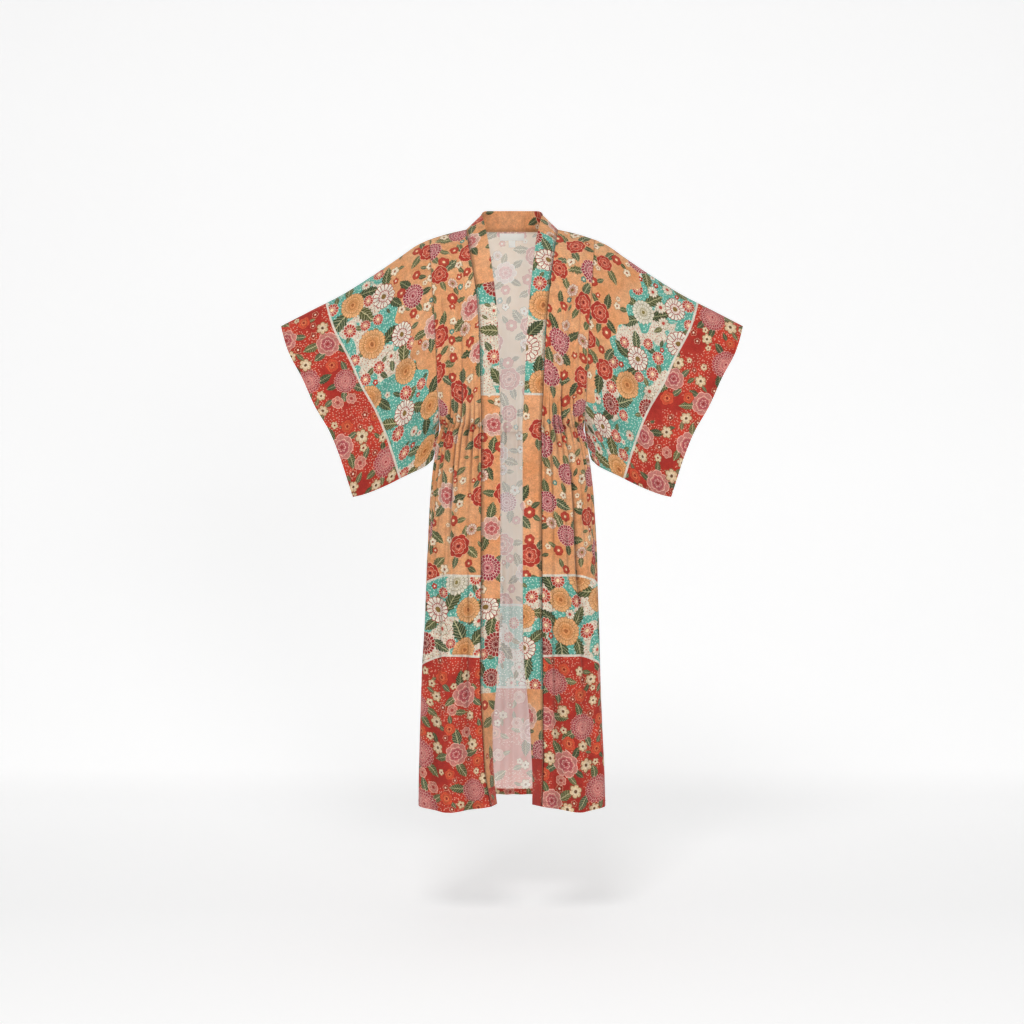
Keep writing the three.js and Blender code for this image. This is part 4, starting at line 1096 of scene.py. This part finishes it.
@functools.lru_cache(maxsize=None)
def sleeve_panel(side):
    """The sleeve as one strip: rows from the armhole to the cuff, columns from the bottom edge up
    the front layer, over the ridge and down the back layer."""
    grids = cloth_grids()
    drops = grids["drops"]
    upper = drops <= WAIST_DROP + 1e-6
    front = grids["fronts"][side][upper, 0]
    back = grids["back"][upper, 0 if side < 0 else -1]
    clear = SLEEVE_CLEARANCE * ramp(382, WAIST_DROP, drops[upper])
    tail_corners = np.concatenate([[[abs(front[-1, 0]) + SLEEVE_CLEARANCE, front[-1, 2]]], SLEEVE_TAIL])
    tail_x, tail_z = along_line(tail_corners, np.linspace(0, 1, 16)[1:])
    root_x = np.concatenate([np.abs(front[:, 0]) + clear, tail_x])
    root_z = np.concatenate([front[:, 2], tail_z])
    pinch = np.full(len(tail_x), SLEEVE_PINCH)
    depth = {
        "front": np.concatenate([np.maximum(SLEEVE_PINCH, -front[:, 1]), pinch]),
        "back": np.concatenate([np.maximum(SLEEVE_PINCH, back[:, 1]), pinch]),
    }
    run = np.concatenate([[0], np.cumsum(np.hypot(np.diff(root_x), np.diff(root_z)))])
    down = (run / run[-1])[None, :]
    near_root = [0.0035, 0.009]
    near_cuff = [1 - 0.0035, 1 - 0.009, 1 - 0.03, 1 - 0.035]
    along = np.unique(np.concatenate([np.linspace(0, 1, SLEEVE_LENGTH_STEPS + 1), near_root, near_cuff]))
    along = along[:, None]
    top_line = np.concatenate([[[root_x[0], root_z[0]]], TOP_LINE[TOP_LINE[:, 0] > root_x[0] + 5]])
    top, under = along_line(top_line, along), along_line(UNDER_LINE, along)
    cuff = along_line(CUFF_LINE, down)
    root = (root_x[None, :], root_z[None, :])
    flat = []
    for axis in (0, 1):
        corners = mix(
            mix(root[axis][0, 0], CUFF_LINE[0, axis], along),
            mix(root[axis][0, -1], CUFF_LINE[-1, axis], along),
            down,
        )
        flat.append(
            mix(root[axis], cuff[axis], along) + mix(top[axis], under[axis], down) - corners
        )
    x, z = flat
    at_cuff = CUFF_DEPTH * np.sqrt(down) * np.maximum(0, 1 - down) ** 0.75 + SLEEVE_PINCH * ramp(0, 0.05, down)
    settle = (1 - np.exp(-SLEEVE_SETTLE * along)) / (1 - math.exp(-SLEEVE_SETTLE))
    crease = 0
    for first, last, down_first, down_last, half, fold_out in SLEEVE_FOLDS:
        part = (along - first) / (last - first)
        line = mix(down_first, down_last, np.clip(part, 0, 1))
        across = np.minimum(np.abs(down - line) / half, 1)
        shown = ramp(0, 0.25, along) * (1 - ramp(0.7, 1, part)) * ramp(0, 0.2, part)
        crease = crease + fold_out * shown * np.cos(math.pi / 2 * across) ** 2
    rng = np.random.default_rng(71 + side)
    soft = 0
    for _ in range(6):
        soft = soft + np.sin(rng.uniform(3, 11) * along + rng.uniform(6, 20) * down + rng.uniform(0, 6.3))
    crease = crease + 0.5 * soft * ramp(0, 0.12, along) * ramp(0, 0.1, down) * ramp(1, 0.9, down)
    layers = []
    for layer, facing in (("front", -1), ("back", 1)):
        deep = mix(depth[layer][None, :], at_cuff, settle)
        deep = np.maximum(deep + crease, SLEEVE_PINCH)
        deep[:, 0] = 0
        deep[:, -1] = 0
        layers.append(np.stack([side * x, facing * deep, z], axis=-1))
    grid = np.concatenate([layers[0][:, ::-1], layers[1][:, 1:]], axis=1)
    ridge = layers[0].shape[1] - 1
    hint = np.zeros_like(grid)
    hint[:, :ridge, 1] = -1
    hint[:, ridge:, 1] = 1
    out = outward(grid, hint)
    dip = seam_dip(SEAM_DIP, *grid.shape[:2], ("top",))
    u = lengths_along(grid[::-1], 0)[::-1]
    v = lengths_along(grid, 1)
    v = v - v[:, ridge:ridge + 1]
    red_to, teal_top, teal_low = CUFF_PRINT
    low = np.abs(v) / np.abs(v).max()
    edge = mix(teal_top, teal_low, low) + 9 * np.sin(v / 17 + 1) + 6 * np.sin(v / 7.3)
    places = np.stack([u - edge, u - red_to, u - red_to], axis=-1)
    folded = np.concatenate([crease[:, ::-1], crease[:, 1:]], axis=1)
    # Painted shade in the sleeve's folds and along its armhole seam, where the cloth dips.
    painted_shade = np.maximum(valleys_of(folded, VALLEY_REACH), np.minimum(dip, 1))
    return grid - dip[..., None] * out, out, u, v, places, painted_shade


@functools.lru_cache(maxsize=None)
def band_path():
    """The band's seam from the left hem round the neck to the right hem, with its ways out, the way
    that the band stands off it, its width and its height."""
    grids = cloth_grids()
    drops = grids["drops"]
    rows = []
    sides = {}
    for side in (-1, 1):
        grid = grids["fronts"][side]
        out = outward(grid, np.array([0.0, -1.0, 0.0]))
        turn = np.radians(read(FRONT_EDGE, 3 if side < 0 else 4, drops)) * -side
        inward = -side * read(BAND_LEAN_FRONT, 1, drops)
        behind, up = read(BAND_LEAN_FRONT, 2, drops), read(BAND_LEAN_FRONT, 3, drops)
        lean = np.stack([
            inward * np.cos(turn) - behind * np.sin(turn),
            inward * np.sin(turn) + behind * np.cos(turn),
            up,
        ], axis=-1)
        width = mix(BAND_WIDTH["neck"], BAND_WIDTH["front"], ramp(0, BAND_TAPER, drops))
        sides[side] = np.concatenate([grid[:, -1], out[:, -1], lean, width[:, None]], axis=1)
    back = grids["back"]
    back_out = outward(back, np.array([0.0, 1.0, 0.0]))
    inside = np.abs(back[0, :, 0]) < NECK_HALF - 1e-3
    points, outs = back[0, inside], back_out[0, inside]
    round_at = np.abs(points[:, 0]) / NECK_HALF
    lean = np.stack([
        -np.sign(points[:, 0]) * read(BAND_LEAN_NECK, 1, round_at),
        read(BAND_LEAN_NECK, 2, round_at),
        read(BAND_LEAN_NECK, 3, round_at),
    ], axis=-1)
    width = np.full((len(points), 1), BAND_WIDTH["neck"])
    rows = [sides[-1][::-1], np.concatenate([points, outs, lean, width], axis=1), sides[1]]
    path = resample(np.concatenate(rows), 4.2)
    end = np.concatenate(rows)[-1:]
    path = np.concatenate([path, end])
    # The ways out and the lean change gently along the band.
    reach = 4
    weights = np.hanning(2 * reach + 3)[1:-1]
    weights /= weights.sum()
    padded = np.pad(path, ((reach, reach), (0, 0)), mode="edge")
    smooth = np.stack([np.convolve(padded[:, c], weights, mode="valid") for c in range(10)], axis=-1)
    path[:, 3:] = smooth[:, 3:]
    path[reach:-reach, :3] = mix(path[reach:-reach, :3], smooth[reach:-reach, :3], 0.6)
    return path


@functools.lru_cache(maxsize=None)
def band_panel():
    """The folded band: columns go from the seam over the outer face, round the free edge and back
    along the inner face."""
    path = band_path()
    point, out, lean, width = path[:, :3], path[:, 3:6], path[:, 6:9], path[:, 9]
    tangent = np.gradient(point, axis=0)
    tangent /= np.linalg.norm(tangent, axis=1, keepdims=True)
    square = lean - np.sum(lean * tangent, axis=1, keepdims=True) * tangent
    square /= np.linalg.norm(square, axis=1, keepdims=True)
    band_out = np.cross(square, tangent)
    thick = 1.9
    rows = []
    shares = np.linspace(0, 1, 11)
    section = []
    for share in shares:
        section.append((share, -0.2 - 0.5 * (1 - ramp(0, 0.1, share)) + 0.25 * math.sin(math.pi * share)))
    for angle in (30, 90, 150):
        turn = math.radians(angle)
        section.append((1 + 0.02 * math.sin(turn), -0.2 - thick / 2 * (1 - math.cos(turn))))
    for share in shares[::-1]:
        section.append((share, -0.2 - thick + 0.5 * (1 - ramp(0, 0.1, share)) - 0.25 * math.sin(math.pi * share)))
    for share, height in section:
        way = band_out if share > 0.05 else mix(out, band_out, share / 0.05)
        start = point + square * (SEAM_GAP / 2)
        rows.append(start + square * (width * min(share, 1.02))[:, None] + way * height)
    grid = np.stack(rows, axis=1)
    u = np.broadcast_to(np.concatenate([[0], np.cumsum([
        40 * math.hypot(section[k + 1][0] - section[k][0], (section[k + 1][1] - section[k][1]) / 40)
        for k in range(len(section) - 1)
    ])])[None, :], grid.shape[:2]).copy()
    run = np.concatenate([[0], np.cumsum(np.linalg.norm(np.diff(point, axis=0), axis=1))])
    v = np.broadcast_to(run[:, None], grid.shape[:2]).copy()
    side = np.where(np.arange(len(point)) < len(point) / 2, -1, 1)
    z = point[:, 2]

    def within(spans):
        best = np.full(len(z), -1e3)
        for s in (-1, 1):
            for low, high in spans[s]:
                inside = np.minimum(z - low, high - z)
                best = np.where(side == s, np.maximum(best, inside), best)
        return best

    peach, red = within(BAND_PEACH), within(BAND_RED)
    places = np.stack([peach, -red, z - BAND_WHITE], axis=-1)
    places = np.broadcast_to(places[:, None, :], (*grid.shape[:2], 3)).copy()
    return grid, band_out, square, u, v, places


# Operators


def hem_inner(v, turned):
    return np.where(turned, 1.2, 0.7) + 0 * v


class ROBE_OT_back(bpy.types.Operator):
    """Make the back panel of the robe"""

    bl_idname = "robe.back"
    bl_label = "Back panel"

    def execute(self, context):
        grid, out, u, v, places, painted_shade = back_panel()
        turned = v < HEM_DEPTH
        made = cloth_shell(
            "back_panel", grid, out, u, v, places, painted_shade, 3, hem_inner(v, turned), turned
        )
        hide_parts("back")
        return {"FINISHED"}


class ROBE_OT_fronts(bpy.types.Operator):
    """Make the two front panels of the robe"""

    bl_idname = "robe.fronts"
    bl_label = "Front panels"

    def execute(self, context):
        for side, name in ((-1, "left"), (1, "right")):
            grid, out, u, v, places, painted_shade = front_panel(side)
            turned = v < HEM_DEPTH
            made = cloth_shell(
                f"front_panel_{name}", grid, out, u, v, places, painted_shade, 21 + side,
                hem_inner(v, turned), turned,
            )
            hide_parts(f"front_{name}")
        return {"FINISHED"}


class ROBE_OT_sleeves(bpy.types.Operator):
    """Make the two wide sleeves"""

    bl_idname = "robe.sleeves"
    bl_label = "Sleeves"

    def execute(self, context):
        for side, name in ((-1, "left"), (1, "right")):
            grid, out, u, v, places, painted_shade = sleeve_panel(side)
            turned = u < HEM_DEPTH
            made = cloth_shell(
                f"sleeve_panel_{name}", grid, out, u, v, places, painted_shade, 41 + side,
                hem_inner(u, turned), turned, spare=("large",),
            )
            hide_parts(f"sleeve_{name}")
        return {"FINISHED"}


class ROBE_OT_neckband(bpy.types.Operator):
    """Make the folded band that runs round the neck and down both fronts"""

    bl_idname = "robe.neckband"
    bl_label = "Neckband"

    def execute(self, context):
        grid, _, _, u, v, places = band_panel()
        rows, columns = grid.shape[:2]
        quads = quads_of(rows, columns)[:, ::-1]
        ids = np.arange(rows * columns).reshape(rows, columns)
        closing = np.stack([ids[:-1, -1], ids[1:, -1], ids[1:, 0], ids[:-1, 0]], axis=-1)[:, ::-1]
        ends = []
        for row, turned in ((0, False), (rows - 1, True)):
            for k in range(columns // 2):
                a, b, c, d = ids[row, k], ids[row, k + 1], ids[row, columns - 2 - k], ids[row, columns - 1 - k]
                if len({a, b, c, d}) < 4:
                    continue
                ends.append((d, c, b, a) if turned else (a, b, c, d))
        quads = np.concatenate([quads, closing, np.array(ends)])
        made = new_object("neckband_folded", grid.reshape(-1, 3), quads, [printed_crepe()])
        motifs = scatter_motifs(u, v, places, 57, plenty=0.2, plain=COLLAR_PLAIN)
        # Painted shade along the band's seam, on both of its faces.
        painted_shade = np.zeros(grid.shape[:2])
        painted_shade[:, [0, 1, -2, -1]] = 1, 0.6, 0.3, 0.5
        add_print(made.data, u, v, 57, places, motifs, [True], painted_shade)
        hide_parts("neckband")
        # The band is cut twice as wide and folded once along its length.
        return {"FINISHED"}


class ROBE_OT_labels(bpy.types.Operator):
    """Make the blank woven label and size tab inside the back neck"""

    bl_idname = "robe.labels"
    bl_label = "Labels"

    def execute(self, context):
        sizes = context.scene.robe_sizes
        for node, name, width, height, drop in (
            ("label", "label_blank", sizes.label_width, sizes.label_height, 3 * MM),
            ("size_tab", "size_tab_blank", sizes.tab_width, sizes.tab_height, 18.5 * MM),
        ):
            made = self.label(name, width / MM, height / MM, drop / MM)
            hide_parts(node)
        return {"FINISHED"}

    def label(self, name, width, height, drop):
        grid, out, *_ = back_panel()
        depth_down = grid[0, :, 2] - 0
        columns, rows = 24, 12
        points = np.zeros((rows + 1, columns + 1, 3))
        ways = np.zeros_like(points)
        centre = grid.shape[1] // 2
        near = slice(centre - 20, centre + 21)
        for i in range(rows + 1):
            for j in range(columns + 1):
                x = mix(-width / 2, width / 2, j / columns)
                z = depth_down[centre] - drop - height * i / rows
                line = np.array([
                    [np.interp(x, grid[r, near, 0], grid[r, near, c]) for c in (0, 1, 2)]
                    + [np.interp(x, grid[r, near, 0], out[r, near, c]) for c in (0, 1, 2)]
                    for r in range(0, 24)
                ])
                order = np.argsort(line[:, 2])
                point = [np.interp(z, line[order, 2], line[order, c]) for c in range(6)]
                way = np.array(point[3:]) / np.linalg.norm(point[3:])
                edge = min(i, rows - i, 3) / 3 * min(j, columns - j, 3) / 3
                points[i, j] = np.array(point[:3]) - way * (1.25 + 0.35 * edge)
                ways[i, j] = way
        inner = points - ways * 0.7
        quads = np.concatenate([
            quads_of(rows + 1, columns + 1),
            quads_of(rows + 1, columns + 1, (rows + 1) * (columns + 1))[:, ::-1],
            rim_quads(rows + 1, columns + 1, (rows + 1) * (columns + 1)),
        ])
        vertices = np.concatenate([points.reshape(-1, 3), inner.reshape(-1, 3)])
        return new_object(name, vertices, quads, [label_satin()])


class ROBE_OT_stitching(bpy.types.Operator):
    """Sew the topstitching, the gathering rows and the hems"""

    bl_idname = "robe.stitching"
    bl_label = "Stitching"

    def execute(self, context):
        sizes = context.scene.robe_sizes
        pitch, radius = sizes.stitch_pitch / MM, sizes.thread_radius / MM
        length = 0.72 * pitch
        drops = cloth_grids()["drops"]
        waist_rows = [int(np.argmin(np.abs(drops - drop))) for drop in (433.0, 444.0)]
        panels = {"back": back_panel(), "left": front_panel(-1), "right": front_panel(1)}
        waist, hems = [], []
        for grid, out, _, v, _, _ in panels.values():
            waist += [on_cloth(grid, out, row=row) for row in waist_rows]
            hems.append(on_cloth(grid, out, row=int(np.argmin(np.abs(v[:, 4] - 11)))))
        peach = sewing_thread("peach thread", "#d99a6a")
        red = sewing_thread("red thread", "#a5352c")
        rows = {
            "waist_gathering": (waist, peach),
            "hem_stitches": (hems, red),
        }
        for side, name in ((-1, "left"), (1, "right")):
            grid, out, u, *_ = sleeve_panel(side)
            middle = grid.shape[1] // 2
            row = int(np.argmin(np.abs(u[:, middle] - 11)))
            rows[f"cuff_stitches_{name}"] = ([on_cloth(grid, out, row=row)], red)
        grid, band_out, _, _, _, _ = band_panel()
        line = np.concatenate([mix(grid[:, 0], grid[:, 1], 0.8) + 0.05 * band_out, band_out], axis=-1)
        rows["band_topstitch"] = ([line[2:-2]], peach)
        for name, (lines, thread) in rows.items():
            stitch_object(name, lines, pitch, length, radius, thread)
        return {"FINISHED"}


class ROBE_OT_stage(bpy.types.Operator):
    """Set the floor, the light and the camera"""

    bl_idname = "robe.stage"
    bl_label = "Stage"

    def execute(self, context):
        scene = context.scene
        studio = scene.robe_studio
        depth, width, curve = 4.2, 9.0, 2.6
        floor = studio.floor_height
        profile = [(-5.5, floor), (depth - curve, floor)]
        profile += [
            (depth - curve + curve * math.sin(a), floor + curve * (1 - math.cos(a)))
            for a in np.linspace(0, math.pi / 2, 24)[1:]
        ]
        profile.append((depth, 6.0))
        vertices = [(x, y, z) for y, z in profile for x in (-width, width)]
        faces = [(2 * i, 2 * i + 1, 2 * i + 3, 2 * i + 2) for i in range(len(profile) - 1)]
        mesh = bpy.data.meshes.new("studio_sweep")
        mesh.from_pydata(vertices, [], faces)
        mesh.shade_smooth()
        # Seamless background paper: part of its brightness is its own, so it stays pale. Painted shade
        # makes the paper greyer where it lies on the floor, most near the front; painted light makes its curve
        # paler.
        material, tree, shader = new_material("white paper sweep", 0.95, specular=0.0)
        shader.inputs["Emission Color"].default_value = (1, 1, 1, 1)
        shader.inputs["Emission Strength"].default_value = 0.46
        place = add(tree, "TexCoord")
        grain = add(tree, "TexNoise", place.outputs["Object"], 40.0, 2.0).outputs[0]
        tone = add(tree, "Mix", grain, colour_of("#dedede"), colour_of("#e1e1e1"), data_type="RGBA")
        upward = add(tree, "SeparateXYZ", place.outputs["Normal"]).outputs[2]
        # Painted light: paler where the paper curves up.
        curve_painted_light = add(tree, "MapRange", upward, 0.0, 0.6, 0.0, 1.0)
        tone = add(tree, "Mix", curve_painted_light, tone.outputs[2], colour_of("#ededed"), data_type="RGBA")
        # Painted shade: greyer where the paper lies flat, most near the front.
        lies_flat = add(tree, "MapRange", upward, 0.98, 1.0, 0.0, 1.0)
        behind = add(tree, "SeparateXYZ", place.outputs["Object"]).outputs[1]
        behind = add(tree, "MapRange", behind, 0.1, 1.5, 0.0, 1.0)
        floor_painted_shade = add(tree, "Mix", behind, colour_of("#cbcbcb"), colour_of("#dedede"), data_type="RGBA")
        tone = add(tree, "Mix", lies_flat, tone.outputs[2], floor_painted_shade.outputs[2], data_type="RGBA")
        tree.links.new(tone.outputs[2], shader.inputs["Base Color"])
        mesh.materials.append(material)
        sweep = bpy.data.objects.new("studio_sweep", mesh)
        scene.collection.objects.link(sweep)

        world = bpy.data.worlds.new("studio")
        world.use_nodes = True
        background = world.node_tree.nodes["Background"]
        background.inputs["Color"].default_value = (1, 1, 1, 1)
        background.inputs["Strength"].default_value = studio.fill
        scene.world = world
        for name, place, aim, size, power in (
            ("front", (1.2, -5.2, 0.2), (0, 0, -0.6), 1.4, studio.front),
            ("key", (-0.5, -3.6, 2.1), (0, 0, -0.5), 1.2, studio.key),
            ("top", (0, -0.6, 5.0), (0, 0.1, -0.8), 4.0, studio.top),
        ):
            data = bpy.data.lights.new(name, "AREA")
            data.size = size
            data.energy = power
            lamp = bpy.data.objects.new(name, data)
            lamp.location = place
            way = np.array(aim, dtype=float) - np.array(place, dtype=float)
            yaw = math.atan2(way[0], -way[1])
            pitch = math.acos(-way[2] / np.linalg.norm(way))
            lamp.rotation_euler = (pitch, 0, yaw + math.pi)
            scene.collection.objects.link(lamp)

        lens = bpy.data.cameras.new("camera")
        lens.sensor_width = 36.0
        lens.lens = studio.lens
        camera = bpy.data.objects.new("camera", lens)
        camera.location = (0, -studio.distance, studio.camera_height)
        camera.rotation_euler = (math.pi / 2, 0, 0)
        scene.collection.objects.link(camera)
        scene.camera = camera
        scene.view_settings.view_transform = "Standard"
        return {"FINISHED"}


OPERATORS = (
    ROBE_OT_back, ROBE_OT_fronts, ROBE_OT_sleeves, ROBE_OT_neckband, ROBE_OT_labels,
    ROBE_OT_stitching, ROBE_OT_stage,
)


def length_property(name, description, default, **limits):
    return bpy.props.FloatProperty(
        name=name, description=description, default=default, unit="LENGTH", subtype="DISTANCE", **limits
    )


def colour_property(name, description, text):
    return bpy.props.FloatVectorProperty(
        name=name, description=description, default=hex_linear(text), subtype="COLOR", size=3, min=0, max=1
    )


class RobeSizes(bpy.types.PropertyGroup):
    label_width: length_property("Label width", "Width of the blank woven label", 0.055)
    label_height: length_property("Label height", "Height of the blank woven label", 0.015)
    tab_width: length_property("Tab width", "Width of the size tab", 0.015)
    tab_height: length_property("Tab height", "Height of the size tab", 0.014)
    stitch_pitch: length_property("Stitch pitch", "From one stitch to the next", 0.003)
    thread_radius: length_property("Thread radius", "Half the thickness of the sewing thread", 0.00032)


class RobeColours(bpy.types.PropertyGroup):
    peach: colour_property("Peach", "Ground of the body's print", "#e4ab7e")
    deep_peach: colour_property("Deep peach", "Shade of the peach ground", "#dc9966")
    teal: colour_property("Teal", "Ground of the middle of the print", "#62ac9b")
    cream: colour_property("Cream", "Patches of the middle of the print", "#ded3c0")
    red: colour_property("Red", "Ground at the hem and cuffs", "#c8412f")
    deep_red: colour_property("Deep red", "Shade of the red ground", "#a92f25")
    white_line: colour_property("White line", "Lines between the parts of the print", "#ddd4c6")
    reverse: colour_property("Reverse", "Milky tone of the cloth's reverse", "#ecc9a8")
    reverse_share: bpy.props.FloatProperty(
        name="Reverse share", description="How far the dye is hidden from behind", default=0.16,
        min=0, max=1, subtype="FACTOR",
    )


class RobeStudio(bpy.types.PropertyGroup):
    lens: bpy.props.FloatProperty(name="Lens", description="Focal length", default=70.3, unit="CAMERA")
    distance: length_property("Distance", "From the camera to the robe", 4.4)
    camera_height: length_property("Camera height", "Height of the camera", -0.6226)
    floor_height: length_property("Floor height", "Height of the floor", -1.51)
    fill: bpy.props.FloatProperty(name="Fill", description="Strength of the white surroundings", default=0.215)
    front: bpy.props.FloatProperty(name="Front", description="Power of the front light", default=76.0, unit="POWER")
    key: bpy.props.FloatProperty(name="Key", description="Power of the key light", default=94.0, unit="POWER")
    top: bpy.props.FloatProperty(name="Top", description="Power of the top light", default=24.0, unit="POWER")


class ROBE_PT_panel(bpy.types.Panel):
    """Lists the robe's sizes, colours and pieces"""

    bl_idname = "ROBE_PT_panel"
    bl_label = "Robe"
    bl_space_type = "VIEW_3D"
    bl_region_type = "UI"
    bl_category = "Robe"

    def draw(self, context):
        for group in (context.scene.robe_sizes, context.scene.robe_colours, context.scene.robe_studio):
            box = self.layout.box()
            for name in group.__annotations__:
                box.prop(group, name)
        for operator in OPERATORS:
            self.layout.operator(operator.bl_idname)


GROUPS = {"robe_sizes": RobeSizes, "robe_colours": RobeColours, "robe_studio": RobeStudio}


def register():
    for group in (*GROUPS.values(), *OPERATORS, ROBE_PT_panel):
        bpy.utils.register_class(group)
    for name, group in GROUPS.items():
        setattr(bpy.types.Scene, name, bpy.props.PointerProperty(type=group))


def unregister():
    for name in GROUPS:
        delattr(bpy.types.Scene, name)
    for group in (ROBE_PT_panel, *reversed(OPERATORS), *GROUPS.values()):
        bpy.utils.unregister_class(group)


def main():
    register()
    for operator in OPERATORS:
        area, name = operator.bl_idname.split(".")
        getattr(getattr(bpy.ops, area), name)()


if __name__ == "__main__":
    main()
